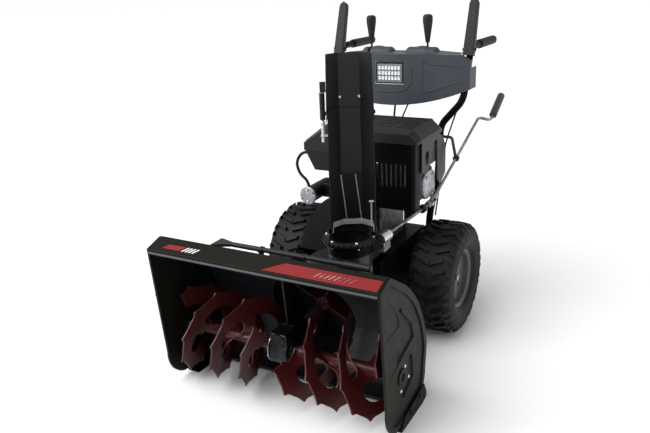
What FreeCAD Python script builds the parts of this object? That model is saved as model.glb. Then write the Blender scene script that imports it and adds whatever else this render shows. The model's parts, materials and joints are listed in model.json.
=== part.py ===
"""Two stage snowblower, built as separate sub-parts, one STEP per sub-part.

Frame: millimetres, +Z up, origin on the ground under the middle of the machine's box.
-Y is the way the machine drives (the auger end), +Y is the operator's end, and +X is the operator's left.
"""
import FreeCAD
import Part
import math
import os

V = FreeCAD.Vector
X, Y, Z = V(1, 0, 0), V(0, 1, 0), V(0, 0, 1)

# ---------------------------------------------------------------- driving sizes
SHEET = 3.0                   # steel sheet of the housing and frame
GAP = 0.5                     # running gap between bodies that move past each other
FRONT_Y = -694.0              # front lip of the auger housing
REAR_Y = 694.0                # rear end of the grips
HOUSING_HALF = 387.0          # half the clear width between the side plates
AUGER_Y, AUGER_Z = -551.0, 175.0
AUGER_R = 150.0
AUGER_PITCH = 112.0           # from one ribbon to the next; each half has two
FLIGHT_PHASE = {1: 86.0, -1: 42.0}
SHAFT_R = 12.0
IMPELLER_Z = 218.0
DRUM_R = 158.0                # outer radius of the impeller drum
DRUM_BACK_Y = -201.0
CHUTE_X, CHUTE_Y = 97.0, -281.0
CHUTE_BASE_Z = 458.0          # top face of the fixed base flange
CHUTE_YAW = 28.0              # the chute's turn from straight ahead, at rest
CHUTE_OFFSET = 12.0           # the channel stands this far to one side of its ring's centre
CHUTE_HINGE_Z = 870.0
HINGE_BACK = -8.0             # the hood's hinge line, behind the chute's turning axis
CHUTE_TOP_Z = 1045.0
BEARING_BOLTS = ((169, 196), (195, 147), (139, 129))     # from the front lip, and height
AXLE_Y, AXLE_Z = 94.0, 206.0
TYRE_R, TYRE_W = 206.0, 168.0
TYRE_X = 291.0                # middle of each tyre
RIM_R = 108.0
FRAME_HALF = 165.0
FRAME_FRONT_Y, FRAME_REAR_Y = -123.0, 244.0
FRAME_LOW_Z, FRAME_TOP_Z = 105.0, 350.0
ENGINE_Z = 470.0              # crankshaft height
ENGINE_FRONT_Y = -104.0
AUGER_BELT_Y, WHEEL_BELT_Y = -171.0, -149.0
DISC_Z = 262.0                # height of the drive disc and of the friction wheel's shaft
DISC_FACE_Y = -104.0
DISC_R = 80.0
FRICTION_R = 68.0
BAR_R = 13.0                  # handlebar tube
BAR_LOW_X, BAR_TOP_X = 182.0, 270.0
GRIP_Z, GRIP_R = 1000.0, 17.0
GRIP_START_Y = 500.0
CLUTCH_PIVOT = V(0, 383, 992)
CLUTCH_LEAN = 18.0            # clutch levers' lean from upright, at rest
CONSOLE_FRONT_Y, CONSOLE_REAR_Y = 262.0, 404.0
CONSOLE_HALF = 292.0
DOME_Z, DOME_Y, DOME_R = 962.0, 366.0, 40.0
LEVER_X = (-118.0, 114.0)     # speed lever, deflector lever
LEVER_PIVOT_Z = 950.0
WORM_POINT = V(199, -236.5, 464)
UJOINT_POINT = V(244, 74, 491)
CRANK_BEND = V(300, 428, 732)
CRANK_THROW = 50.0
GRIP_VECTOR = V(0, 141, 74)


# ---------------------------------------------------------------- small helpers
def box(x0, x1, y0, y1, z0, z1):
    return Part.makeBox(x1 - x0, y1 - y0, z1 - z0, V(x0, y0, z0))


def soft_box(x0, x1, y0, y1, z0, z1, radius):
    solid = box(x0, x1, y0, y1, z0, z1)
    return solid.makeFillet(radius, solid.Edges)


def rod(p, q, radius):
    return Part.makeCylinder(radius, (q - p).Length, p, q - p)


def ring(centre, axis, outer, inner, length):
    tube = Part.makeCylinder(outer, length, centre, axis)
    return tube.cut(Part.makeCylinder(inner, length + 2, centre - axis * 1.0, axis))


def fuse(solids):
    result = solids[0]
    if len(solids) > 1:
        result = result.multiFuse(solids[1:])
    return result.removeSplitter()


def polygon(points):
    return Part.Wire(Part.makePolygon(points + [points[0]]).Edges)


def slab(outline, direction):
    """Extrudes a closed wire along a vector."""
    return Part.Face(outline).extrude(direction)


def rounded_path(points, radius):
    """A wire of straight runs joined by tangent arcs; radius is a number or one per inner point."""
    inner = len(points) - 2
    radii = [radius] * inner if isinstance(radius, (int, float)) else list(radius)
    edges, start = [], points[0]
    for i in range(1, len(points) - 1):
        a = (points[i] - points[i - 1]).normalize()
        b = (points[i + 1] - points[i]).normalize()
        turn = a.getAngle(b)
        reach = radii[i - 1] * math.tan(turn / 2)
        first, last = points[i] - a * reach, points[i] + b * reach
        bisector = (b - a).normalize()
        centre = points[i] + bisector * (radii[i - 1] / math.cos(turn / 2))
        middle = centre - bisector * radii[i - 1]
        edges += [Part.LineSegment(start, first).toShape(), Part.Arc(first, middle, last).toShape()]
        start = last
    edges.append(Part.LineSegment(start, points[-1]).toShape())
    return Part.Wire(edges)


def bent_tube(points, tube_radius, bend_radius):
    path = rounded_path(points, bend_radius)
    profile = Part.Wire([Part.makeCircle(tube_radius, points[0], points[1] - points[0])])
    return path.makePipeShell([profile], True, False)


def cable(points, radius):
    """A held cable: each arc is as large as its two runs allow."""
    radii = []
    for i in range(1, len(points) - 1):
        before, after = points[i] - points[i - 1], points[i + 1] - points[i]
        turn = before.getAngle(after)
        radii.append(0.45 * min(before.Length, after.Length) / math.tan(turn / 2))
    return bent_tube(points, radius, radii)


def turned(shape, angle, centre, axis):
    copy = shape.copy()
    copy.rotate(centre, axis, angle)
    return copy


def mirrored(shape):
    return shape.mirror(V(0, 0, 0), X)


def both_sides(shape):
    return [shape, mirrored(shape)]


def bolt(point, axis, head_r=6.0, head_h=4.5, shank_r=3.0, shank=6.0):
    """A carriage bolt: domed head outside, shank inside."""
    head = Part.makeSphere(head_r * 1.25, point - axis * (head_r * 0.75), axis, -90, 90, 360)
    head = head.common(Part.makeCylinder(head_r, head_h, point, axis))
    return fuse([head, rod(point - axis * shank, point + axis * 0.5, shank_r)])


# ---------------------------------------------------------------- auger housing
def housing_wire(x, inset=0.0):
    """The D-shaped side outline of the auger housing in the plane X = x."""
    def at(y, z):
        return V(x, FRONT_Y + y, z)
    front_top, crest = at(2 + inset, 497 - inset), at(63, 517 - inset)
    shoulder, back = at(134 - inset * 0.5, 474 - inset), at(330 - inset, 190)
    back_mid, back_low = at(264 - inset * 0.8, 352 - inset * 0.6), at(318 - inset, 106)
    heel, heel_mid = at(240, 18 + inset), at(292 - inset * 0.7, 44 + inset * 0.7)
    toe, toe_mid = at(96, 18 + inset), at(47 + inset * 0.7, 52 + inset * 0.7)
    shin = at(29 + inset, 120)
    return Part.Wire([
        Part.LineSegment(front_top, crest).toShape(),
        Part.LineSegment(crest, shoulder).toShape(),
        Part.Arc(shoulder, back_mid, back).toShape(),
        Part.LineSegment(back, back_low).toShape(),
        Part.Arc(back_low, heel_mid, heel).toShape(),
        Part.LineSegment(heel, toe).toShape(),
        Part.Arc(toe, toe_mid, shin).toShape(),
        Part.LineSegment(shin, front_top).toShape(),
    ])


def bucket_block(inset, half):
    return slab(housing_wire(-half, inset), X * (2 * half))


def auger_housing():
    """The curved back sheet and its roof, with the round opening to the impeller."""
    outer = bucket_block(0.5, HOUSING_HALF)
    inner = bucket_block(0.5 + SHEET, HOUSING_HALF + 1)
    shell = outer.cut(inner)
    y0 = FRONT_Y
    shell = shell.cut(box(-400, 400, y0 - 5, y0 + 222, 0, 300))
    shell = shell.cut(box(-400, 400, y0 - 5, y0 + 60, 0, 484))
    shell = shell.cut(box(-400, 400, y0 - 5, y0 + 4, 0, 520))
    opening = Part.makeCylinder(DRUM_R - SHEET, 400, V(0, -460, IMPELLER_Z), Y)
    return [shell.cut(opening)]


def deck_cover():
    """The painted roof skin with its folded front lip."""
    y0, skin = FRONT_Y, 1.6
    top = [V(0, y0, 499), V(0, y0 + 63, 519.5), V(0, y0 + 128, 480)]
    low = [p - Z * skin for p in reversed(top)]
    sheet = slab(polygon([V(-HOUSING_HALF, p.y, p.z) for p in top + low]), X * (2 * HOUSING_HALF))
    lip = box(-HOUSING_HALF, HOUSING_HALF, y0, y0 + 2.2, 485, 498.5)
    return [fuse([sheet, lip])]


def side_plate(sign):
    """A stamped end plate with a rolled rim, two bent ribs and an axle boss."""
    x = sign * HOUSING_HALF
    plate = slab(housing_wire(x), X * (sign * 2.6))
    rim = slab(housing_wire(x + sign * 2.6), X * (sign * 4.4))
    rim = rim.cut(slab(housing_wire(x, 20.0), X * (sign * 20)))
    solid = fuse([plate, rim])
    y0 = FRONT_Y

    def rib(points):
        path = [V(x + sign * 2.2, y0 + y, z) for y, z in points]
        solids = []
        for a, b in zip(path, path[1:]):
            solids += [rod(a, b, 6.5), Part.makeSphere(6.5, a), Part.makeSphere(6.5, b)]
        return fuse(solids)
    ribs = [rib([(138, 388), (205, 325), (228, 265), (120, 236)]),
            rib([(212, 205), (222, 140), (155, 105)])]
    clip = box(min(x, x + sign * 30), max(x, x + sign * 30), y0, y0 + 400, 0, 540)
    solid = fuse([solid] + [r.common(clip) for r in ribs])
    solid = solid.cut(Part.makeCylinder(SHAFT_R + 4, 60, V(x - sign * 30, AUGER_Y, AUGER_Z), X * sign))
    for y, z in BEARING_BOLTS:
        solid = solid.cut(Part.makeCylinder(2.5, 60, V(x - sign * 30, y0 + y, z), X * sign))
    return [solid]


def scraper_bar():
    y0 = FRONT_Y
    bar = box(-HOUSING_HALF, HOUSING_HALF, y0 + 224, y0 + 263, 12, 17)
    return [bar]


def skid_shoes():
    """Two bent steel shoes bolted to the side plates' lower rear edges."""
    y0, x = FRONT_Y, HOUSING_HALF + 7.0 + 0.2
    outline = [V(x, y0 + 120, 3), V(x, y0 + 150, 0), V(x, y0 + 285, 0), V(x, y0 + 318, 8),
               V(x, y0 + 318, 26), V(x, y0 + 300, 62), V(x, y0 + 150, 40), V(x, y0 + 120, 12)]
    flange = slab(polygon(outline), X * 4.0)
    sole = slab(polygon([V(x, y0 + 120, 3), V(x, y0 + 150, 0), V(x, y0 + 285, 0), V(x, y0 + 318, 8),
                         V(x, y0 + 318, 12), V(x, y0 + 284, 4), V(x, y0 + 151, 4),
                         V(x, y0 + 120, 7)]), X * -42.0)
    shoe = fuse([flange, sole])
    for y, z in ((185, 34), (262, 40)):
        slot = soft_box(x - 3, x + 7, y0 + y - 4, y0 + y + 4, z - 10, z + 10, 1.5)
        shoe = shoe.cut(slot)
    return both_sides(shoe)


def impeller_housing():
    """The drum that holds the impeller, with the round neck that feeds the chute."""
    y_front = FRONT_Y + 134
    body = Part.makeCylinder(DRUM_R, DRUM_BACK_Y - y_front, V(0, y_front, IMPELLER_Z), Y)
    neck = Part.makeCylinder(72, CHUTE_BASE_Z - 6 - 240, V(CHUTE_X, CHUTE_Y, 240), Z)
    outer = fuse([body, neck])
    hollow = Part.makeCylinder(DRUM_R - SHEET, DRUM_BACK_Y - SHEET - y_front + 5,
                               V(0, y_front - 5, IMPELLER_Z), Y)
    throat = Part.makeCylinder(72 - SHEET, CHUTE_BASE_Z - 230, V(CHUTE_X, CHUTE_Y, 238), Z)
    throat = throat.common(box(-400, 400, y_front, DRUM_BACK_Y - SHEET, 0, 600))
    shell = outer.cut(fuse([hollow, throat]))
    shell = shell.cut(bucket_block(0.5, HOUSING_HALF + 5))
    shaft_hole = Part.makeCylinder(13, 40, V(0, DRUM_BACK_Y - 20, IMPELLER_Z), Y)
    return [shell.cut(shaft_hole)]


def chute_base_ring():
    """The fixed flange on the neck that the chute turns on."""
    flange = ring(V(CHUTE_X, CHUTE_Y, CHUTE_BASE_Z - 6), Z, 88, 72 - SHEET, 6)
    spigot = ring(V(CHUTE_X, CHUTE_Y, CHUTE_BASE_Z - 40), Z, 76, 72, 34)
    return [fuse([flange, spigot])]


# ---------------------------------------------------------------- auger drive
def gearbox_case():
    """Worm gearbox in the middle of the auger: wheel case, worm snout and side caps."""
    wheel_case = Part.makeCylinder(50, 64, V(-32, AUGER_Y, AUGER_Z), X)
    wheel_case = wheel_case.makeFillet(6, [e for e in wheel_case.Edges if e.Length > 300])
    snout = rod(V(0, AUGER_Y - 46, IMPELLER_Z), V(0, AUGER_Y + 92, IMPELLER_Z), 23.5)
    bonnet = soft_box(-30, 30, AUGER_Y - 42, AUGER_Y + 42, AUGER_Z, IMPELLER_Z + 24, 6)
    solid = fuse([wheel_case, snout, bonnet])
    solid = solid.cut(Part.makeCylinder(42, 52, V(-26, AUGER_Y, AUGER_Z), X))
    solid = solid.cut(rod(V(0, AUGER_Y - 38, IMPELLER_Z), V(0, AUGER_Y + 84, IMPELLER_Z), 20))
    solid = solid.cut(rod(V(0, AUGER_Y, IMPELLER_Z), V(0, AUGER_Y + 120, IMPELLER_Z), 10.4))
    solid = solid.cut(Part.makeCylinder(SHAFT_R + GAP, 120, V(-60, AUGER_Y, AUGER_Z), X))
    flanges = [ring(V(32, AUGER_Y, AUGER_Z), X, 34, SHAFT_R + GAP, 5),
               ring(V(-37, AUGER_Y, AUGER_Z), X, 34, SHAFT_R + GAP, 5)]
    bolts = []
    for i in range(6):
        a = math.radians(30 + 60 * i)
        for sign in (1, -1):
            point = V(sign * 37, AUGER_Y + 26 * math.cos(a), AUGER_Z + 26 * math.sin(a))
            bolts.append(Part.makeCylinder(4, 4, point, X * sign))
    return [solid] + [fuse([f] + bolts[k::2]) for k, f in enumerate(flanges)]


def gearbox_support():
    """The stay from the gearbox up to the housing roof."""
    foot_y, top_y = AUGER_Y + 34, FRONT_Y + 150
    outline = [V(-3, foot_y - 16, IMPELLER_Z + 24.3), V(-3, foot_y + 18, IMPELLER_Z + 24.3),
               V(-3, top_y + 22, 430), V(-3, top_y + 14, 480), V(-3, top_y - 12, 480)]
    strap = slab(polygon(outline), X * 6).common(bucket_block(0.6 + SHEET, HOUSING_HALF))
    pad = box(-22, 22, foot_y - 16, foot_y + 8, IMPELLER_Z + 24.3, IMPELLER_Z + 28)
    return [fuse([strap, pad])]


def auger_bearings():
    """Flanged bushes that carry the auger shaft in the side plates."""
    flange = ring(V(HOUSING_HALF + 2.6, AUGER_Y, AUGER_Z), X, 26, SHAFT_R + GAP, 4)
    neck = ring(V(HOUSING_HALF - 6, AUGER_Y, AUGER_Z), X, SHAFT_R + 4, SHAFT_R + GAP, 8.6)
    return both_sides(fuse([flange, neck]))


def auger_shaft():
    shaft = rod(V(-HOUSING_HALF - 1, AUGER_Y, AUGER_Z), V(HOUSING_HALF + 1, AUGER_Y, AUGER_Z), SHAFT_R)
    return [shaft]


def worm_wheel():
    """Bronze wheel on the auger shaft, inside the gearbox."""
    teeth, tip, root = 20, 30.0, 26.0
    points = []
    for i in range(teeth):
        for share, radius in ((0.0, root), (0.3, tip), (0.55, tip), (0.85, root)):
            a = 2 * math.pi * (i + share) / teeth
            points.append(V(-8, AUGER_Y + radius * math.cos(a), AUGER_Z + radius * math.sin(a)))
    wheel = slab(polygon(points), X * 16)
    hub = Part.makeCylinder(18, 40, V(-20, AUGER_Y, AUGER_Z), X)
    bore = Part.makeCylinder(SHAFT_R, 60, V(-30, AUGER_Y, AUGER_Z), X)
    return [fuse([wheel, hub]).cut(bore)]


def flight(sign):
    """One half of the auger: a tube with two helical ribbons on spokes, wound towards the middle."""
    inner, outer, thick = AUGER_R - 44, AUGER_R, 4.0
    start, length, lead = 46.0, 322.0, 2 * AUGER_PITCH
    centre = V(start, AUGER_Y, AUGER_Z)
    edges = [Part.makeHelix(lead, length, r).Edges[0] for r in (outer, inner)]
    ribbon = Part.makeRuledSurface(edges[0], edges[1]).extrude(V(0, 0, thick))
    solids = []
    for first in (FLIGHT_PHASE[sign], FLIGHT_PHASE[sign] + 180.0):
        half = turned(ribbon, first, V(0, 0, 0), Z)
        half.rotate(V(0, 0, 0), Y, 90)
        half.translate(centre)
        solids.append(half)
        for i in range(5):
            x = start + i * lead / 3
            arm = box(x - 1, x + 5, -16, 16, 12, inner + 8)
            arm.rotate(V(0, 0, 0), X, first + 180 + 120 * i)
            arm.translate(V(0, AUGER_Y, AUGER_Z))
            solids.append(arm)
    tube = Part.makeCylinder(17, HOUSING_HALF - 10 - 42, V(42, AUGER_Y, AUGER_Z), X)
    solid = fuse([tube] + solids).cut(Part.makeCylinder(SHAFT_R, 500, V(30, AUGER_Y, AUGER_Z), X))
    return [solid if sign > 0 else mirrored(solid)]


def impeller():
    """Four curved paddles on a hub and a back disc."""
    y0, depth = DRUM_BACK_Y - SHEET - 8, 100.0
    hub = Part.makeCylinder(24, depth, V(0, y0 - depth, IMPELLER_Z), Y)
    disc = Part.makeCylinder(96, 4, V(0, y0 - 4, IMPELLER_Z), Y)
    solids = [hub, disc]
    for i in range(4):
        blade = box(-2, 2, y0 - depth, y0, 20, DRUM_R - SHEET - 9)
        scoop = box(-2, 16, y0 - depth, y0, DRUM_R - SHEET - 13, DRUM_R - SHEET - 9)
        paddle = fuse([blade, scoop]).cut(rod(V(-10, y0 - 62, 104), V(10, y0 - 62, 104), 9))
        paddle.translate(Z * IMPELLER_Z)
        solids.append(turned(paddle, 90 * i + 25, V(0, 0, IMPELLER_Z), Y))
    bore = Part.makeCylinder(10, 300, V(0, -420, IMPELLER_Z), Y)
    return [fuse(solids).cut(bore)]


def impeller_shaft():
    """Shaft from the worm in the gearbox, through the drum, to the pulley behind it."""
    shaft = rod(V(0, AUGER_Y - 34, IMPELLER_Z), V(0, -166, IMPELLER_Z), 10)
    worm = Part.makeCylinder(12.5, 56, V(0, AUGER_Y - 28, IMPELLER_Z), Y)
    for i in range(6):
        groove = ring(V(0, AUGER_Y - 24 + 8.5 * i, IMPELLER_Z), Y, 14, 10, 4)
        worm = worm.cut(groove)
    return [fuse([shaft, worm])]


def pulley(centre, outer, width, bore):
    """A grooved belt pulley around Y."""
    y0, y1, mid = centre.y - width / 2, centre.y + width / 2, centre.y
    outline = [V(bore, y0, 0), V(outer, y0, 0), V(outer, mid - width * 0.4, 0),
               V(outer - 9, mid - width * 0.24, 0), V(outer - 9, mid + width * 0.24, 0),
               V(outer, mid + width * 0.4, 0), V(outer, y1, 0), V(bore, y1, 0)]
    solid = Part.Face(polygon(outline)).revolve(V(0, 0, 0), Y, 360)
    solid.translate(V(centre.x, 0, centre.z))
    return solid


def impeller_pulley():
    return [pulley(V(0, AUGER_BELT_Y, IMPELLER_Z), 78, 18, 10)]


def belt_loop(centre_a, radius_a, centre_b, radius_b, width):
    """A flat-sided belt around two pulleys on the same plane, circles of the given inner radii."""
    def hull(grow):
        a = Part.makeCylinder(radius_a + grow, width, centre_a, Y)
        b = Part.makeCylinder(radius_b + grow, width, centre_b, Y)
        gap = centre_a.z - centre_b.z
        tilt = math.asin((radius_b - radius_a) / gap)
        points = []
        for centre, radius in ((centre_a, radius_a), (centre_b, radius_b)):
            for side in (1, -1):
                points.append(V(centre.x + side * (radius + grow) * math.cos(tilt), centre.y,
                                centre.z + (radius + grow) * math.sin(tilt)))
        web = slab(polygon([points[0], points[1], points[3], points[2]]), Y * width)
        return fuse([a, b, web])
    return hull(7.5).cut(hull(0))


def drive_belts():
    top, low = V(0, AUGER_BELT_Y - 3.5, ENGINE_Z), V(0, AUGER_BELT_Y - 3.5, IMPELLER_Z)
    auger_belt = belt_loop(top, 32 + GAP, low, 69 + GAP, 7)
    top, low = V(0, WHEEL_BELT_Y - 3.5, ENGINE_Z), V(0, WHEEL_BELT_Y - 3.5, DISC_Z)
    wheel_belt = belt_loop(top, 26 + GAP, low, 53 + GAP, 7)
    drop, run = DISC_Z - AXLE_Z, AXLE_Y - friction_axis()
    chain = belt_loop(V(0, -3.5, math.hypot(drop, run)), 24 + GAP, V(0, -3.5, 0), 66 + GAP, 7)
    chain.rotate(V(0, 0, 0), Z, 90)
    chain.rotate(V(0, 0, 0), X, math.degrees(math.atan2(run, drop)))
    chain.translate(V(126, AXLE_Y, AXLE_Z))
    return [auger_belt, wheel_belt, chain]


def engine_pulley():
    """Stepped double pulley on the end of the crankshaft."""
    auger_groove = pulley(V(0, AUGER_BELT_Y, ENGINE_Z), 41, 18, 9)
    wheel_groove = pulley(V(0, WHEEL_BELT_Y, ENGINE_Z), 35, 18, 9)
    hub = ring(V(0, AUGER_BELT_Y + 5, ENGINE_Z), Y, 20, 9, 12)
    stub = rod(V(0, AUGER_BELT_Y - 11, ENGINE_Z), V(0, -41, ENGINE_Z), 9)
    return [fuse([auger_groove, wheel_groove, hub, stub])]


# ---------------------------------------------------------------- drive to the wheels
def drive_disc():
    """Driven pulley and the flat disc that the friction wheel runs on."""
    belt_wheel = pulley(V(0, WHEEL_BELT_Y, DISC_Z), 62, 18, 10)
    shaft = rod(V(0, WHEEL_BELT_Y - 10, DISC_Z), V(0, DISC_FACE_Y - 2, DISC_Z), 10)
    disc = rod(V(0, DISC_FACE_Y - 6, DISC_Z), V(0, DISC_FACE_Y, DISC_Z), DISC_R)
    return [fuse([belt_wheel, shaft, disc])]


def friction_axis():
    return DISC_FACE_Y + GAP + FRICTION_R


def friction_wheel():
    y = friction_axis()
    tread = ring(V(-6, y, DISC_Z), X, FRICTION_R, 52, 12)
    web = ring(V(-3, y, DISC_Z), X, 52, 14, 6)
    hub = ring(V(-22, y, DISC_Z), X, 20, 8 + GAP, 44)
    return [fuse([web, hub]), tread]


def cross_shaft():
    """The shaft the friction wheel slides along, with its chain sprocket."""
    y = friction_axis()
    shaft = rod(V(-FRAME_HALF + 4, y, DISC_Z), V(FRAME_HALF - 4, y, DISC_Z), 8)
    return [fuse([shaft, sprocket(V(126, y, DISC_Z), 12, 24, 8)])]


def sprocket(centre, teeth, outer, width):
    points = []
    for i in range(teeth):
        for share, drop in ((0.0, 4.0), (0.35, 0.0), (0.5, 0.0), (0.85, 4.0)):
            a = 2 * math.pi * (i + share) / teeth
            radius = outer - drop
            points.append(V(centre.x - width / 2, centre.y + radius * math.cos(a),
                            centre.z + radius * math.sin(a)))
    return slab(polygon(points), X * width)


def axle_shaft():
    """The wheel axle with its chain sprocket."""
    shaft = rod(V(-TYRE_X - 50, AXLE_Y, AXLE_Z), V(TYRE_X + 50, AXLE_Y, AXLE_Z), 12.5)
    return [fuse([shaft, sprocket(V(126, AXLE_Y, AXLE_Z), 36, 66, 8)])]


def drive_frame():
    """The welded tractor frame: side plates, front and rear walls and the engine deck."""
    x, t = FRAME_HALF, SHEET
    outline = [V(x - t, DRUM_BACK_Y + 0.2, FRAME_LOW_Z + 15), V(x - t, FRAME_REAR_Y, FRAME_LOW_Z),
               V(x - t, FRAME_REAR_Y, FRAME_TOP_Z - 40), V(x - t, FRAME_REAR_Y - 40, FRAME_TOP_Z),
               V(x - t, DRUM_BACK_Y + 0.2, FRAME_TOP_Z)]
    side = slab(polygon(outline), X * t)
    side = side.cut(Part.makeCylinder(12.5 + GAP, 60, V(x - 30, AXLE_Y, AXLE_Z), X))
    side = side.cut(Part.makeCylinder(8 + GAP, 60, V(x - 2 - t, friction_axis(), DISC_Z), X))
    front = box(-x + t, x - t, FRAME_FRONT_Y, FRAME_FRONT_Y + t, FRAME_LOW_Z + 12, FRAME_TOP_Z - t)
    front = front.cut(rod(V(0, -140, DISC_Z), V(0, -100, DISC_Z), 10 + GAP))
    rear = box(-x + t, x - t, FRAME_REAR_Y - t, FRAME_REAR_Y, FRAME_LOW_Z, FRAME_TOP_Z - 42)
    deck = box(-x + t, x - t, FRAME_FRONT_Y, FRAME_REAR_Y - 42, FRAME_TOP_Z - t, FRAME_TOP_Z)
    ears = []
    for sign in (1, -1):
        x0, x1 = sorted((sign * (x - t), sign * (x - 32)))
        ears.append(box(x0, x1, DRUM_BACK_Y + 0.2, DRUM_BACK_Y + t, FRAME_LOW_Z + 20, FRAME_TOP_Z - 4))
    return [fuse(both_sides(side) + [front, rear, deck] + ears)]


def frame_cover():
    """Belly pan under the frame."""
    pan = box(-FRAME_HALF + 4, FRAME_HALF - 4, FRAME_FRONT_Y + 4, FRAME_REAR_Y - 4,
              FRAME_LOW_Z - 4, FRAME_LOW_Z - 0.2)
    return [pan]


def belt_cover():
    """Domed plastic cover over the belts, from the frame deck up."""
    def outline(shrink, y):
        s = shrink
        base, top = FRAME_TOP_Z + 1, 545 - s
        left, right = -156 + s, 134 - s
        return Part.Wire([
            Part.LineSegment(V(left, y, base), V(left + 8, y, 372)).toShape(),
            Part.Arc(V(left + 8, y, 372), V(-108 + s * 0.7, y, 474 - s * 0.7), V(-42, y, top)).toShape(),
            Part.LineSegment(V(-42, y, top), V(34, y, top)).toShape(),
            Part.Arc(V(34, y, top), V(94 - s * 0.7, y, 474 - s * 0.7), V(right - 8, y, 372)).toShape(),
            Part.LineSegment(V(right - 8, y, 372), V(right, y, base)).toShape(),
            Part.LineSegment(V(right, y, base), V(left, y, base)).toShape(),
        ])
    y0, y1 = -187.5, ENGINE_FRONT_Y - 2
    outer = slab(outline(0, y0), Y * (y1 - y0))
    hollow = slab(outline(3, y0 + 3), Y * (y1 - y0))
    hollow = fuse([hollow, box(-153, 131, y0 + 3, y1 + 9, FRAME_TOP_Z - 5, FRAME_TOP_Z + 8)])
    return [outer.cut(hollow)]


# ---------------------------------------------------------------- engine
def engine_block():
    """Crankcase with its foot flange, and the finned cylinder leaning to the operator's left."""
    case = soft_box(-98, 98, -40, 170, FRAME_TOP_Z + 12, 590, 10)
    foot = box(-110, 110, -30, 160, FRAME_TOP_Z, FRAME_TOP_Z + 14)
    nose = rod(V(0, -41, ENGINE_Z), V(0, -20, ENGINE_Z), 40)
    barrel = soft_box(80, 194, 20, 130, 512, 610, 8)
    fins = [soft_box(106 + 14 * i, 111 + 14 * i, 8, 142, 502, 620, 2) for i in range(6)]
    head = soft_box(190, 224, 14, 134, 508, 612, 10)
    solid = fuse([case, foot, nose, barrel, head] + fins)
    return [solid.cut(rod(V(0, -60, ENGINE_Z), V(0, -25, ENGINE_Z), 9 + GAP))]


def blower_housing():
    """Recoil starter and fan housing on the operator's side of the crankcase."""
    bowl = rod(V(0, 171, ENGINE_Z), V(0, 222, ENGINE_Z), 104)
    bowl = bowl.makeFillet(14, [e for e in bowl.Edges if e.BoundBox.YMin > 221])
    cup = rod(V(0, 222, ENGINE_Z), V(0, 240, ENGINE_Z), 62)
    cup = cup.makeFillet(8, [e for e in cup.Edges if e.BoundBox.YMin > 239])
    solid = fuse([bowl, cup])
    for i in range(12):
        slot = box(-3, 3, 215, 245, 70, 90)
        slot.translate(Z * ENGINE_Z)
        solid = solid.cut(turned(slot, 30 * i, V(0, 0, ENGINE_Z), Y))
    outlet = soft_box(62, 96, 200, 236, 396, 430, 5)
    return [fuse([solid, outlet])]


def recoil_handle():
    """The T handle of the pull starter, sitting on its rope outlet."""
    grip = rod(V(79, 252, 384), V(79, 252, 442), 9)
    grip = grip.makeFillet(4, [e for e in grip.Edges if e.Length > 40 and len(e.Vertexes) == 1])
    stem = rod(V(79, 236.5, 413), V(79, 250, 413), 5)
    return [fuse([grip, stem])]


def fuel_tank():
    """Tank behind the top cover, with its filler neck."""
    body = soft_box(-150, 150, 146, 272, 612, 722, 22)
    neck = rod(V(-60, 206, 715), V(-60, 206, 738), 22)
    return [fuse([body, neck])]


def fuel_cap():
    cap = rod(V(-60, 206, 738.5), V(-60, 206, 760), 29)
    cap = cap.makeFillet(5, [e for e in cap.Edges if e.BoundBox.ZMin > 759])
    for i in range(10):
        notch = rod(V(-60 + 31, 206, 730), V(-60 + 31, 206, 757), 4)
        cap = cap.cut(turned(notch, 36 * i, V(-60, 206, 0), Z))
    return [cap]


def cover_section(y, drop, narrow):
    """Outline of the engine's top cover at a station along Y."""
    n = narrow
    return polygon([V(-172 + n, y, 690), V(-172 + n, y, 724 - drop * 0.5), V(-84 + n, y, 788 - drop),
                    V(232 - n, y, 786 - drop), V(262 - n, y, 751 - drop * 0.35), V(262 - n, y, 738),
                    V(60, y, 738), V(52, y, 690)])


def engine_top_cover():
    """Wide plastic cover over the engine with its louvred top, and the airbox skirt on one side."""
    y0, y1 = ENGINE_FRONT_Y, 132
    outer = Part.makeLoft([cover_section(y0, 16, 4), cover_section(y0 + 30, 2, 0),
                           cover_section(y1 - 30, 0, 0), cover_section(y1, 14, 4)], True, True)
    hollow = Part.makeLoft([cover_section(y0 + 4, 20, 8), cover_section(y0 + 30, 6, 4),
                            cover_section(y1 - 30, 4, 4), cover_section(y1 - 4, 18, 8)], True, True)
    open_floor = fuse([box(-167, 45, y0 + 5, y1 - 5, 680, 705), box(66, 256, y0 + 5, y1 - 5, 730, 744)])
    shell = outer.cut(fuse([hollow, open_floor]))
    for i in range(6):
        for x0 in (96, 168):
            shell = shell.cut(box(x0, x0 + 60, -68 + 22 * i, -58 + 22 * i, 760, 800))
    skirt = Part.makeLoft([
        polygon([V(-168, y0 + 6, 689.5), V(-60, y0 + 6, 689.5), V(-60, 60, 689.5), V(-168, 60, 689.5)]),
        polygon([V(-140, y0 + 22, 615), V(-70, y0 + 22, 615), V(-70, 40, 615), V(-140, 40, 615)])],
        True, True)
    return [shell, skirt]


def engine_side_cover():
    """Left panel of the engine shroud, toed in towards the back, and the air duct over the cylinder."""
    x = 248
    outline = [V(x, -44, 737.5), V(x, -44, 628), V(x, 16, 612), V(x, 60, 652), V(x, 96, 708), V(x, 128, 706),
               V(x, 136, 560), V(x, 176, 530), V(x, 240, 560), V(x, 240, 660), V(x, 205, 700), V(x, 132, 737.5)]
    panel = slab(polygon(outline), X * 4)
    oval = Part.makeCylinder(24, 20, V(x - 8, 0, 0), X)
    stretch = FreeCAD.Matrix(1, 0, 0, 0, 0, 0.8, 0, 12, 0, 0, 1, 668)
    panel = panel.cut(oval.transformGeometry(stretch))
    shroud = soft_box(64, 236, 4, 140, 624, 732, 8)
    return [turned(panel, 3.4, V(x, -44, 0), Z), shroud]


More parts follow.
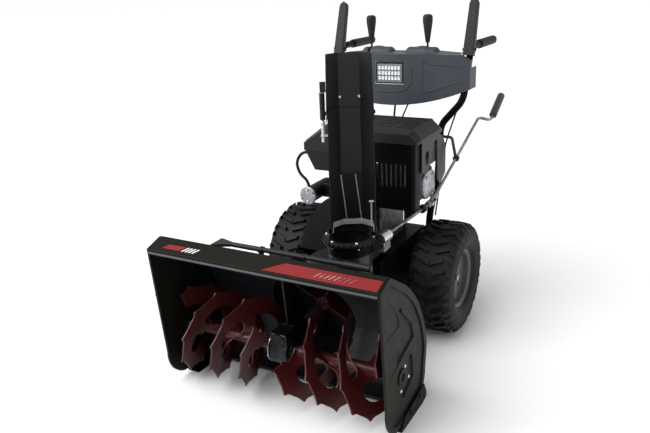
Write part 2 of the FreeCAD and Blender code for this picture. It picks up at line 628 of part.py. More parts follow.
def muffler():
    can = soft_box(104, 214, -82, -26, 540, 690, 16)
    pipe = rod(V(150, -30, 560), V(150, 7.5, 560), 12)
    return [fuse([can, pipe])]


def muffler_guard():
    """Heat shield with upright slots around the muffler."""
    y0, low, top = ENGINE_FRONT_Y + 6, 508, 737
    outer = soft_box(56, 246, y0, y0 + 120, low - 20, top + 20, 14)
    inner = soft_box(60, 242, y0 + 4, y0 + 130, low - 30, top + 30, 10)
    shell = outer.cut(inner).common(box(40, 260, y0 - 5, y0 + 52, low, top))
    for i in range(8):
        x = 92 + 17 * i
        shell = shell.cut(box(x, x + 6, y0 - 5, y0 + 8, 588, 668))
    floor = box(72, 230, y0 + 6, y0 + 50, low, low + 3)
    tabs = box(72, 230, y0 + 3, y0 + 7, low, low + 3)
    return [fuse([shell, floor, tabs])]


def starter_motor():
    """Electric starter beside the crankcase, with its round end cap facing forward."""
    y0 = -56
    body = rod(V(-192, y0 + 7, 503), V(-192, 96, 503), 30)
    cap = rod(V(-192, y0, 503), V(-192, y0 + 6.8, 503), 33)
    screws = [rod(V(-192 + 24 * s, y0 - 2.5, 503 + 13 * s), V(-192 + 24 * s, y0 + 1, 503 + 13 * s), 3.5)
              for s in (1, -1)]
    bracket = box(-170, -98.2, 20, 30, 480, 530)
    return [fuse([body, bracket]), fuse([cap] + screws)]


def choke_knob():
    stem = rod(V(-206, 40, 650), V(-168.5, 40, 650), 4)
    knob = rod(V(-222, 40, 650), V(-206, 40, 650), 15)
    knob = knob.makeFillet(3, [e for e in knob.Edges if e.Length > 60 and e.BoundBox.XMax < -221])
    return [fuse([stem, knob])]


def starter_lead():
    """The thick lead from the starter up to the engine cover."""
    route = [V(-196, -36, 533.5), V(-204, -36, 556), V(-236, -36, 582), V(-246, -36, 622),
             V(-222, -36, 660), V(-172, -36, 668)]
    return [cable(route, 5.5)]


# ---------------------------------------------------------------- wheels
def wheel_rims():
    """Pressed rims with a dished disc and a hub tube."""
    outline = [V(TYRE_X - 62, 100, 0), V(TYRE_X - 62, RIM_R, 0), V(TYRE_X - 56, RIM_R, 0),
               V(TYRE_X - 50, 99, 0), V(TYRE_X + 50, 99, 0), V(TYRE_X + 58, RIM_R, 0),
               V(TYRE_X + 64, RIM_R, 0), V(TYRE_X + 64, 103, 0), V(TYRE_X + 57, 95, 0),
               V(TYRE_X + 40, 93, 0), V(TYRE_X + 34, 60, 0), V(TYRE_X + 40, 50, 0),
               V(TYRE_X + 40, 13 + GAP, 0), V(TYRE_X + 36, 13 + GAP, 0), V(TYRE_X + 36, 48, 0),
               V(TYRE_X + 30, 60, 0), V(TYRE_X + 36, 95, 0), V(TYRE_X - 54, 95, 0)]
    rim = Part.Face(polygon(outline)).revolve(V(0, 0, 0), X, 360)
    hub = Part.makeCylinder(24, 84, V(TYRE_X - 45, 0, 0), X)
    solid = fuse([rim, hub]).cut(Part.makeCylinder(12.5, 200, V(TYRE_X - 90, 0, 0), X))
    for i in range(4):
        hole = Part.makeCylinder(7, 60, V(TYRE_X, 70, 0), X)
        solid = solid.cut(turned(hole, 45 + 90 * i, V(0, 0, 0), X))
    solid.translate(V(0, AXLE_Y, AXLE_Z))
    return both_sides(solid)


def tyres():
    """Wide low pressure tyres, one solid ring each."""
    half, r = TYRE_W / 2, TYRE_R
    c = TYRE_X
    profile = Part.Wire([
        Part.LineSegment(V(c - 56.5, 103, 0), V(c - 66, 110, 0)).toShape(),
        Part.Arc(V(c - 66, 110, 0), V(c - half, 150, 0), V(c - half + 10, r - 14, 0)).toShape(),
        Part.Arc(V(c - half + 10, r - 14, 0), V(c - half + 16, r - 5, 0), V(c - half + 26, r - 3, 0)).toShape(),
        Part.Arc(V(c - half + 26, r - 3, 0), V(c, r, 0), V(c + half - 26, r - 3, 0)).toShape(),
        Part.Arc(V(c + half - 26, r - 3, 0), V(c + half - 16, r - 5, 0), V(c + half - 10, r - 14, 0)).toShape(),
        Part.Arc(V(c + half - 10, r - 14, 0), V(c + half, 150, 0), V(c + 66, 110, 0)).toShape(),
        Part.LineSegment(V(c + 66, 110, 0), V(c + 58.5, 103, 0)).toShape(),
        Part.LineSegment(V(c + 58.5, 103, 0), V(c + 50, 99.4, 0)).toShape(),
        Part.LineSegment(V(c + 50, 99.4, 0), V(c - 50, 99.4, 0)).toShape(),
        Part.LineSegment(V(c - 50, 99.4, 0), V(c - 56.5, 103, 0)).toShape(),
    ])
    solid = Part.Face(profile).revolve(V(0, 0, 0), X, 360)
    rim_space = Part.Face(polygon([V(c - 90, 90, 0), V(c - 90, RIM_R + 0.4, 0), V(c - 55.6, RIM_R + 0.4, 0),
                                   V(c - 49.6, 99.4, 0), V(c + 49.6, 99.4, 0), V(c + 57.6, RIM_R + 0.4, 0),
                                   V(c + 90, RIM_R + 0.4, 0), V(c + 90, 90, 0)]))
    air_side = [V(c + 44, 90, 0), V(c + 44, 104, 0), V(c + 58, 118, 0), V(c + half - 9, 150, 0),
                V(c + half - 20, r - 24, 0), V(c + half - 32, r - 16, 0)]
    air = Part.Face(polygon(air_side + [V(2 * c - p.x, p.y, 0) for p in reversed(air_side)]))
    solid = solid.cut(rim_space.revolve(V(0, 0, 0), X, 360)).cut(air.revolve(V(0, 0, 0), X, 360))
    solid.translate(V(0, AXLE_Y, AXLE_Z))
    return both_sides(solid)


# ---------------------------------------------------------------- handlebar and console
def handle_lower():
    """Lower tubes bolted to the frame sides."""
    low = bent_tube([V(BAR_LOW_X, 176, 150), V(BAR_LOW_X, 224, 400), V(BAR_LOW_X, 300.9, 497),
                     V(BAR_LOW_X, 316.2, 598)], BAR_R, [160, 110])
    return both_sides(low)


def handle_upper():
    """Upper tubes: a double bend out to the console, then back into the grips."""
    x0, x1 = BAR_LOW_X, BAR_TOP_X
    start = V(x0, 316.3, 598.6)
    path = [start, V(x0, 334, 716), V(x1, 324, 812), V(x1, 404, 1000), V(x1, REAR_Y - 6, GRIP_Z)]
    bar = bent_tube(path, BAR_R, [70, 70, 60])
    p = CLUTCH_PIVOT
    ears = [box(x1 + s * 15.5 - 1.5, x1 + s * 15.5 + 1.5, p.y - 6, p.y + 26, p.z - 12, p.z + 6) for s in (1, -1)]
    cheek = [box(x1 + s * 13 - 2, x1 + s * 13 + 2, p.y + 14, p.y + 24, p.z - 14, p.z - 2) for s in (1, -1)]
    pin = rod(V(x1 - 26, p.y, p.z), V(x1 + 26, p.y, p.z), 4)
    return both_sides(fuse([bar, pin] + ears + cheek))


def handle_brace():
    """Cross tube and clamp plates that tie the two halves together at the joint."""
    tube = rod(V(-BAR_LOW_X, 303, 512), V(BAR_LOW_X, 303, 512), 9)
    return [tube.cut(Part.makeCompound(handle_lower()))]


def grips():
    grip = ring(V(BAR_TOP_X, GRIP_START_Y, GRIP_Z), Y, GRIP_R, BAR_R, REAR_Y - 6 - GRIP_START_Y)
    cap = rod(V(BAR_TOP_X, REAR_Y - 6, GRIP_Z), V(BAR_TOP_X, REAR_Y, GRIP_Z), GRIP_R)
    cap = cap.makeFillet(4, [e for e in cap.Edges if e.BoundBox.YMin > REAR_Y - 0.5])
    return both_sides(fuse([grip, cap]))


def clutch_lever(sign):
    """A channel-shaped bail lever on the handlebar, its open side towards the grip."""
    half, front, rear, wall = 20.5, -12.0, 10.0, 2.0
    face = soft_box(-half, half, front, rear + 20, -24, 186, 8)
    hollow = box(-half + wall, half - wall, front + wall, 60, -60, 178)
    solid = face.cut(hollow).common(box(-40, 40, front - 1, rear, -24, 194))
    solid = solid.cut(rod(V(-40, 0, 0), V(40, 0, 0), 4.07))
    solid.rotate(V(0, 0, 0), X, -CLUTCH_LEAN)
    solid.translate(V(sign * BAR_TOP_X, CLUTCH_PIVOT.y, CLUTCH_PIVOT.z))
    return [solid]


def console_block(inset, back):
    """The console's outer shape, or a smaller copy: bowed in plan, with a curved bottom edge."""
    i = inset
    front, half = CONSOLE_FRONT_Y + i, CONSOLE_HALF - i
    end_y = 330 + i * 0.7
    plan = Part.Wire([
        Part.Arc(V(-half, end_y, 700), V(0, front, 700), V(half, end_y, 700)).toShape(),
        Part.LineSegment(V(half, end_y, 700), V(half, back, 700)).toShape(),
        Part.LineSegment(V(half, back, 700), V(-half, back, 700)).toShape(),
        Part.LineSegment(V(-half, back, 700), V(-half, end_y, 700)).toShape(),
    ])
    top, corner, low_end, low_mid = 985 - i, 957 - i, 852 + i, 795 + i
    face = Part.Wire([
        Part.LineSegment(V(-half, 200, corner), V(-250, 200, top - 8)).toShape(),
        Part.LineSegment(V(-250, 200, top - 8), V(-150, 200, top)).toShape(),
        Part.LineSegment(V(-150, 200, top), V(150, 200, top)).toShape(),
        Part.LineSegment(V(150, 200, top), V(250, 200, top - 8)).toShape(),
        Part.LineSegment(V(250, 200, top - 8), V(half, 200, corner)).toShape(),
        Part.LineSegment(V(half, 200, corner), V(half, 200, low_end)).toShape(),
        Part.Arc(V(half, 200, low_end), V(0, 200, low_mid), V(-half, 200, low_end)).toShape(),
        Part.LineSegment(V(-half, 200, low_end), V(-half, 200, corner)).toShape(),
    ])
    return slab(plan, Z * 400).common(slab(face, Y * 300))


def console():
    """Moulded dash shell, open at the back, with two slotted humps for the levers."""
    solid = console_block(0, CONSOLE_REAR_Y)
    humps = []
    for x in (-88, 94):
        hump = Part.makeCylinder(DOME_R, 124, V(x - 62, DOME_Y, DOME_Z), X)
        humps.append(hump.makeFillet(12, [e for e in hump.Edges if e.Length > 200]))
    solid = fuse([solid] + [h.common(box(-400, 400, 0, CONSOLE_REAR_Y, 900, 1100)) for h in humps])
    solid = solid.cut(console_block(3, CONSOLE_REAR_Y + 20))
    for x in LEVER_X:
        solid = solid.cut(box(x - 7, x + 7, DOME_Y - 34, DOME_Y + 34, 930, 1010))
        solid = solid.cut(Part.makeCylinder(DOME_R - 4, 40, V(x - 20, DOME_Y, DOME_Z), X))
    for sign in (1, -1):
        solid = solid.cut(rod(V(sign * BAR_TOP_X, 324, 812), V(sign * BAR_TOP_X, 404, 1000), BAR_R + 2))
        solid = solid.cut(box(min(sign * 240, sign * 300), max(sign * 240, sign * 300), 350, 410, 930, 1000))
    solid = solid.cut(box(-58, 58, 240, 300, 874, 956))
    return [solid]


def headlight_case():
    case = soft_box(-57, 57, 264, 304, 875, 955, 3)
    pocket = box(-52, 52, 255, 272, 880, 950)
    solid = case.cut(pocket)
    for i in range(6):
        for j in range(4):
            centre = V(-43.3 + 17.3 * i, 266, 888.8 + 17.5 * j)
            cup = Part.makeCone(7.6, 3.0, 9, centre + Y * 6.2, Y)
            solid = solid.cut(cup)
    return [solid]


def headlight_lens():
    return [soft_box(-51.5, 51.5, 266, 270, 880.5, 949.5, 1.5)]


def control_lever(x):
    """A lever stem with its tapered knob, pivoted inside the console hump."""
    stem = rod(V(x, DOME_Y, LEVER_PIVOT_Z - 20), V(x, DOME_Y, 1030), 4)
    hub = Part.makeCylinder(9, 12, V(x - 6, DOME_Y, LEVER_PIVOT_Z), X)
    knob = Part.makeCone(8, 18.5, 76, V(x, DOME_Y, 1018))
    crown = Part.makeCylinder(18.5, 26, V(x, DOME_Y, 1094))
    crown = crown.makeFillet(12, [e for e in crown.Edges if e.BoundBox.ZMin > 1119])
    knob = fuse([knob, crown])
    hub = hub.cut(Part.makeCylinder(3.4, 40, V(x - 20, DOME_Y, LEVER_PIVOT_Z), X))
    return [fuse([stem, hub]).cut(Part.makeCylinder(3.4, 40, V(x - 20, DOME_Y, LEVER_PIVOT_Z), X)), knob.cut(stem)]


def lever_pins():
    """Pivot pins under the console humps, held in two small posts each."""
    solids = []
    for x in LEVER_X:
        pin = rod(V(x - 16, DOME_Y, LEVER_PIVOT_Z), V(x + 16, DOME_Y, LEVER_PIVOT_Z), 3.3)
        posts = [box(x + s * 13 - 3, x + s * 13 + 3, DOME_Y - 6, DOME_Y + 6, 880, LEVER_PIVOT_Z + 6) for s in (1, -1)]
        foot = box(x - 16, x + 16, 200, CONSOLE_REAR_Y - 4, 876, 880).common(console_block(3, CONSOLE_REAR_Y))
        solids.append(fuse([pin, foot] + posts))
    return solids


def control_cables():
    """Sheathed cables and the shift rod, from the console and levers down to the frame and chute."""
    left = [V(250, 424, 960), V(248, 420, 890), V(240, 408, 820), V(222, 366, 735), V(206, 322, 650),
            V(203, 285, 560), V(202, 262, 470), V(196, 245, 380)]
    right = [V(-p.x, p.y, p.z) for p in left]
    shift = [V(-20, 368, 791), V(-14, 336, 720), V(-6, 304, 640), V(-4, 284, 560), V(-2, 272, 450), V(0, 262, 330)]
    lamp = [V(40, 360, 790), V(30, 332, 750), V(18, 304, 700), V(12, 286, 640), V(12, 278, 560), V(14, 272, 470)]
    return [cable(left, 3), cable(right, 3), cable(shift, 4), cable(lamp, 3)]


# ---------------------------------------------------------------- chute and its controls
def chute_frame(shape, offset=CHUTE_OFFSET):
    """Moves a shape from the chute's own frame (u forward along -Y, about the ring centre) into place."""
    shape.translate(V(offset, 0, 0))
    shape.rotate(V(0, 0, 0), Z, CHUTE_YAW)
    shape.translate(V(CHUTE_X, CHUTE_Y, 0))
    return shape


def chute_section(z, half, front, back, grow=0.0):
    """Channel outline around the snow path: side walls, two bevels and a back. Forward is -Y."""
    h, b, f = half + grow, back + grow, front
    bevel = h * 0.52
    return polygon([V(-h, -f, z), V(-h, b - bevel * 0.9, z), V(-h + bevel, b, z),
                    V(h - bevel, b, z), V(h, b - bevel * 0.9, z), V(h, -f, z)])


def chute():
    """Lower chute: a ring that turns on the base flange and an open faceted channel above it."""
    z0, z1, z2 = CHUTE_BASE_Z + 8, 670.0, CHUTE_HINGE_Z + 9
    levels = [(z0, 69, 40, 66), (z1, 70, 44, 34), (z2, 66, 44, 32)]
    outer = Part.makeLoft([chute_section(z, h, f, b, 2.0) for z, h, f, b in levels], True, True)
    inner = Part.makeLoft([chute_section(z, h, f + 60, b) for z, h, f, b in levels], True, True)
    channel = outer.cut(inner)
    base = ring(V(0, 0, CHUTE_BASE_Z + GAP), Z, 86, 64, 7.5)
    collar = ring(V(0, 0, CHUTE_BASE_Z + 8), Z, 74, 68, 20)
    collar = collar.cut(box(-100, 100, -100, -30, 400, 600))
    teeth = []
    for i in range(30):
        tooth = box(85, 91, -4, 4, CHUTE_BASE_Z + GAP + 1, CHUTE_BASE_Z + GAP + 6)
        teeth.append(turned(tooth, 12 * i, V(0, 0, 0), Z))
    ring_gear = fuse([base, collar] + teeth)
    ring_gear.translate(V(-CHUTE_OFFSET, 0, 0))
    channel = channel.cut(box(-200, 200, -200, 200, 400, CHUTE_BASE_Z + 8.5))
    channel = channel.cut(rod(V(-90, HINGE_BACK, CHUTE_HINGE_Z), V(90, HINGE_BACK, CHUTE_HINGE_Z), 6.06))
    return [chute_frame(fuse([ring_gear, channel]))]


def chute_strap():
    """Zinc wear band inside the foot of the chute, with its tall draw bolt."""
    z = CHUTE_BASE_Z + 30
    outer = slab(chute_section(z, 66.0, 30, 55.5, 0), Z * 18)
    inner = slab(chute_section(z, 64.0, 90, 53.5, 0), Z * 18)
    band = outer.cut(inner)
    bolt_rod = rod(V(60, 4, z + 9), V(60, 4, z + 92), 3)
    tee = rod(V(52, 4, z + 92), V(67, 4, z + 92), 4)
    return [chute_frame(fuse([band, bolt_rod, tee]))]


def deflector():
    """Hinged hood on top of the chute, its cheeks outside the channel."""
    z0, z1 = 848.0, CHUTE_TOP_Z
    outer = Part.makeLoft([chute_section(z0, 70.5, 40, 36.5, 2.0), chute_section(z1, 66.0, 30, 36.5, 2.0)], True, True)
    inner = Part.makeLoft([chute_section(z0, 70.5, 100, 36.5), chute_section(z1, 66.0, 90, 36.5)], True, True)
    hood = outer.cut(inner)
    corner = box(-100, 100, -90, 0, z1 - 60, z1 + 5)
    blunt = Part.makeCylinder(58, 300, V(-150, 28, z1 - 58), X)
    corner = corner.cut(blunt).cut(box(-100, 100, 28, 200, z1 - 60, z1 + 5))
    hood = hood.cut(corner.common(box(-200, 200, -200, -22, z1 - 40, z1 + 5)))
    pins = [rod(V(s * 64, HINGE_BACK, CHUTE_HINGE_Z), V(s * 77, HINGE_BACK, CHUTE_HINGE_Z), 6) for s in (1, -1)]
    arm = box(-90, -72, 16, 21, 930, 962)
    pair = [rod(V(x, 34, 912), V(x, 42, 912), 5) for x in (-30, 30)]
    return [chute_frame(fuse([hood, arm] + pins + pair))]


def deflector_spring():
    """Return spring and cable ferrule beside the chute's right-hand cheek."""
    bracket = box(-92, -68, 10, 28, 794, 798)
    ferrule = rod(V(-84, 19, 776), V(-84, 19, 832), 6)
    ball = Part.makeSphere(8, V(-84, 19, 836))
    return [chute_frame(fuse([bracket, ferrule, ball]))]


def spring_coil():
    """The spring stands in as its outer sleeve."""
    return [chute_frame(ring(V(-84, 19, 845), Z, 7, 4.5, 84))]


def along(p, q):
    return (q - p).normalize()


def chute_worm():
    """Worm and lower crank rod, from the ring gear back to the joint."""
    d = along(WORM_POINT, UJOINT_POINT)
    rod_solid = rod(WORM_POINT - d * 24, UJOINT_POINT - d * 34, 6)
    core = rod(WORM_POINT - d * 14, WORM_POINT + d * 18, 9)
    threads = [rod(WORM_POINT + d * s, WORM_POINT + d * (s + 4), 14) for s in (-12, -4, 4, 12)]
    worm = fuse([rod_solid, core] + threads)
    joint_half = fuse(yoke(UJOINT_POINT, d * -1, X) + joint_cross(X))
    return [worm, joint_half]


def yoke(centre, axis, pin_axis):
    """A fork: a hub on the rod side and two cheeks beside the joint's centre."""
    hub = rod(centre + axis * 16, centre + axis * 34, 11)
    side = (pin_axis - axis * pin_axis.dot(axis)).normalize()
    up = axis.cross(side)
    cheeks = []
    for s in (1, -1):
        a = centre + side * (s * 9)
        b = centre + side * (s * 13)
        corners = [a + up * 6 - axis * 6, a - up * 6 - axis * 6, a - up * 6 + axis * 20, a + up * 6 + axis * 20]
        cheeks.append(slab(polygon(corners), b - a))
    return [hub] + cheeks


def joint_cross(pin_axis):
    return [rod(UJOINT_POINT - pin_axis * 14, UJOINT_POINT + pin_axis * 14, 3),
            rod(UJOINT_POINT - pin_axis * 6, UJOINT_POINT + pin_axis * 6, 5.5)]


def crank_rod():
    """Upper crank rod with its offset arm and the spindle for the grip."""
    d = along(UJOINT_POINT, CRANK_BEND)
    side = d.cross(X).normalize()
    g = V(GRIP_VECTOR).normalize()
    elbow = CRANK_BEND + V(CRANK_THROW, -10, -6)
    end = elbow + g * 150
    shaft = bent_tube([UJOINT_POINT + d * 26, CRANK_BEND, elbow, end], 5.5, [12, 12])
    return [fuse([shaft] + yoke(UJOINT_POINT, d, side))]


def crank_ends():
    elbow = CRANK_BEND + V(CRANK_THROW, -10, -6)
    g = V(GRIP_VECTOR).normalize()
    return elbow + g * 28, elbow + g * 156


def crank_grip():
    start, end = crank_ends()
    g = along(start, end)
    body = rod(start, end, 14)
    body = body.makeFillet(7, [e for e in body.Edges if e.Length > 60 and len(e.Vertexes) == 1])
    return [body.cut(rod(start - g * 2, start + g * 123, 5.5 + GAP))]


def worm_bracket():
    """Bracket from the neck to the worm, with a half-round guard over it."""
    d = along(WORM_POINT, UJOINT_POINT)
    guard = ring(WORM_POINT - d * 26, d, 20, 17, 46)
    guard = guard.cut(box(80, 190.5, -400, 0, 400, 600))
    web = box(206, 210, -264, -214, 440, 452).cut(rod(WORM_POINT - d * 40, WORM_POINT + d * 40, 17))
    side = box(206, 210, -264, -214, 420, 448)
    arm = slab(polygon([V(150, -264, 420), V(210, -264, 420), V(210, -236, 420), V(150, -236, 420)]), Z * 5)
    arm = arm.cut(Part.makeCylinder(76.2, 100, V(CHUTE_X, CHUTE_Y, 400), Z))
    return [fuse([guard, side, web, arm])]


def rod_guides():
    """Guide bush for the lower rod on a frame bracket, and the eye bracket for the upper rod."""
    d1 = along(WORM_POINT, UJOINT_POINT)
    centre = UJOINT_POINT - d1 * 66
    eye1 = ring(centre - d1 * 7, d1, 15, 6.4, 14)
    y = centre.y - 3
    plate = slab(polygon([V(FRAME_HALF + 0.2, y, 300), V(FRAME_HALF + 5, y, 300), V(FRAME_HALF + 5, y, 440),
                          V(centre.x - 9, y, centre.z - 8), V(centre.x - 12, y, centre.z + 6),
                          V(FRAME_HALF + 0.2, y, 470)]), Y * 6)
    bore = rod(centre - d1 * 30, centre + d1 * 30, 6.4)
    lower = fuse([eye1, plate]).cut(bore)
    d2 = along(UJOINT_POINT, CRANK_BEND)
    eye_centre = UJOINT_POINT + d2 * 216
    eye2 = ring(eye_centre - d2 * 6, d2, 12, 6.2, 12)
    stalk = bent_tube([V(180, 326, 672), V(236, 306, 676), eye_centre + V(-4, 2, 8)], 5.5, 22)
    upper = fuse([eye2, stalk]).cut(rod(eye_centre - d2 * 30, eye_centre + d2 * 30, 6.2))
    return [lower, upper.cut(Part.makeCompound(handle_upper()))]


def tool_path():
    y = FRONT_Y + 176
    return V(-200, y, 478), V(196, y, 478)


def clean_out_tool():
    """Plastic stick with a scoop at one end and a handle at the other, lying on the housing."""
    a, b = tool_path()
    shaft = rod(a, b, 8)
    scoop = slab(polygon([V(a.x, a.y - 9, a.z - 5), V(a.x - 62, a.y - 30, a.z - 7), V(a.x - 62, a.y + 30, a.z - 7),
                          V(a.x, a.y + 9, a.z - 5)]), Z * 9)
    handle = rod(b, b + X * 90, 11)
    handle = handle.makeFillet(5, [e for e in handle.Edges if e.Length > 50 and len(e.Vertexes) == 1])
    return [fuse([shaft, scoop, handle])]


def tool_clip():
    a, b = tool_path()
    clips = []
    for x in (-96.0, 58.0):
        hoop = ring(V(x, a.y, a.z), X, 12, 8.4, 14).cut(box(x - 5, x + 30, a.y - 8.7, a.y + 8.7, a.z, a.z + 20))
        post = box(x, x + 14, a.y - 4, a.y + 4, a.z - 40, a.z - 10)
        clips.append(fuse([hoop, post]).cut(bucket_block(0.5, HOUSING_HALF)))
    return clips


def fasteners():
    """Visible bolts of the housing, the side plates and the chute base."""
    solids = []
    y0 = FRONT_Y
    for sign in (1, -1):
        x = sign * (HOUSING_HALF + 2.6)
        for y, z in BEARING_BOLTS:
            solids.append(bolt(V(x, y0 + y, z), X * sign, 5.5, 4, 2.5, 8))
    for i in range(6):
        a = math.radians(15 + 60 * i)
        point = V(CHUTE_X + 81 * math.cos(a), CHUTE_Y + 81 * math.sin(a), CHUTE_BASE_Z - 6)
        solids.append(Part.makeCylinder(5, 4, point - Z * 4, Z))
    return solids


NODES = {
    "auger_housing": auger_housing,
    "deck_cover": deck_cover,
    "side_plate_left": lambda: side_plate(1),
    "side_plate_right": lambda: side_plate(-1),
    "scraper_bar": scraper_bar,
    "skid_shoes": skid_shoes,
    "impeller_housing": impeller_housing,
    "chute_base_ring": chute_base_ring,
    "gearbox_case": gearbox_case,
    "gearbox_support": gearbox_support,
    "auger_bearings": auger_bearings,
    "auger_shaft": auger_shaft,
    "worm_wheel": worm_wheel,
    "auger_flight_left": lambda: flight(1),
    "auger_flight_right": lambda: flight(-1),
    "impeller": impeller,
    "impeller_shaft": lambda: impeller_shaft() + impeller_pulley(),
    "drive_belts": drive_belts,
    "engine_pulley": engine_pulley,
    "drive_disc": drive_disc,
    "friction_wheel": friction_wheel,
    "cross_shaft": cross_shaft,
    "axle_shaft": axle_shaft,
    "drive_frame": lambda: drive_frame() + frame_cover(),
    "belt_cover": belt_cover,
    "engine_block": engine_block,
    "blower_housing": blower_housing,
    "recoil_handle": recoil_handle,
    "fuel_tank": fuel_tank,
    "fuel_cap": fuel_cap,
    "engine_top_cover": engine_top_cover,
    "engine_side_cover": engine_side_cover,
    "muffler": muffler,
    "muffler_guard": muffler_guard,
    "starter_motor": starter_motor,
    "starter_lead": starter_lead,
    "choke_knob": choke_knob,
    "wheel_rims": wheel_rims,
    "tyres": tyres,
    "handle_lower": lambda: handle_lower() + handle_brace(),
    "handle_upper": handle_upper,
    "grips": grips,
    "clutch_lever_left": lambda: clutch_lever(1),
    "clutch_lever_right": lambda: clutch_lever(-1),
    "console": console,
    "headlight_case": headlight_case,
    "headlight_lens": headlight_lens,
    "speed_lever": lambda: control_lever(LEVER_X[0]),
    "deflector_lever": lambda: control_lever(LEVER_X[1]),
    "control_cables": control_cables,
    "chute": chute,
    "deflector": deflector,
    "chute_hardware": lambda: deflector_spring() + spring_coil() + chute_strap(),
    "chute_worm": chute_worm,
    "crank_rod": crank_rod,
    "crank_grip": crank_grip,
    "clean_out_tool": clean_out_tool,
    "worm_bracket": worm_bracket,
    "rod_guides": lambda: rod_guides() + tool_clip(),
    "fasteners": lambda: fasteners() + lever_pins(),
}


def main():
    os.makedirs("parts", exist_ok=True)
    for name, make in NODES.items():
        solids = [s for shape in make() for s in shape.Solids]
        bad = [i for i, s in enumerate(solids) if not s.isValid() or s.Volume <= 0]
        print(f"{name}: {len(solids)} solids, {sum(s.Volume for s in solids) / 1000:.1f} cm3 {'BAD' if bad else ''}")
        Part.makeCompound(solids).exportStep(f"parts/{name}.step")


if __name__ == "__main__":
    main()
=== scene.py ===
"""The looks of a two stage snowblower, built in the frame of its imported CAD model.

Lengths written in the pieces are millimetres of the CAD frame: +X is the operator's left, -Y the
front of the machine, +Z up, with the origin on the ground under the middle of the machine.
"""

import json
import math

import bmesh
import bpy
from mathutils import Matrix, Vector

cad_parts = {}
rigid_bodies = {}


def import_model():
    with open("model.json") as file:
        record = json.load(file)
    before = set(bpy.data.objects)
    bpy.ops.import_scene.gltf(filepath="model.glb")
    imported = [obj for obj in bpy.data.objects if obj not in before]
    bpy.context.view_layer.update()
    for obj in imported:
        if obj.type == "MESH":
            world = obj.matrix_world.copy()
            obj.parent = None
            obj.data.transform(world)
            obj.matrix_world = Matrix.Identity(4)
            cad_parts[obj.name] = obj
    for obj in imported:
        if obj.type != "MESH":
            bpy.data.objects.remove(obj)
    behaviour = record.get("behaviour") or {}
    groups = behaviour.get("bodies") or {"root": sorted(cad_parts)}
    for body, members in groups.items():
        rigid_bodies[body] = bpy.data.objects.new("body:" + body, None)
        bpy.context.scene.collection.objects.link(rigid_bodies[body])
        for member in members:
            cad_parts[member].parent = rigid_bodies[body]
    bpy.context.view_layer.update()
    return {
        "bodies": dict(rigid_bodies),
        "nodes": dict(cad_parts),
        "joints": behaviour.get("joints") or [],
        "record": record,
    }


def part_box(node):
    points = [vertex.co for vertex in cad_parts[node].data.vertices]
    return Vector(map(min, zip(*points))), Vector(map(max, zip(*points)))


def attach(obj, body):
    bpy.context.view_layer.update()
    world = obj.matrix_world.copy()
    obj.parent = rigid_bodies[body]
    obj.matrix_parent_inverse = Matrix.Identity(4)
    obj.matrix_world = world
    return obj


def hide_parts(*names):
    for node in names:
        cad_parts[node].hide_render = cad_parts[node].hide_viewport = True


MM = 0.001
X = Vector((1, 0, 0))
Y = Vector((0, 1, 0))
Z = Vector((0, 0, 1))

AUGER_Y = -551.0
AUGER_Z = 175.0
AUGER_R = 150.0
AUGER_START = 46.0
AUGER_LENGTH = 322.0
AUGER_LEAD = 224.0
AUGER_PHASE = {1: 86.0, -1: 42.0}
WHEEL_Y = 94.0
WHEEL_Z = 206.0
WHEEL_X = 291.0
TYRE_R = 206.0
CHUTE_X = 97.0
CHUTE_Y = -281.0
CHUTE_TURN = 28.0
CHUTE_OFFSET = 12.0
CLUTCH_LEAN = 18.0
SHARP_ANGLE = 35.0
CAD_SHARP_ANGLE = 32.0


# ---------------------------------------------------------------- materials


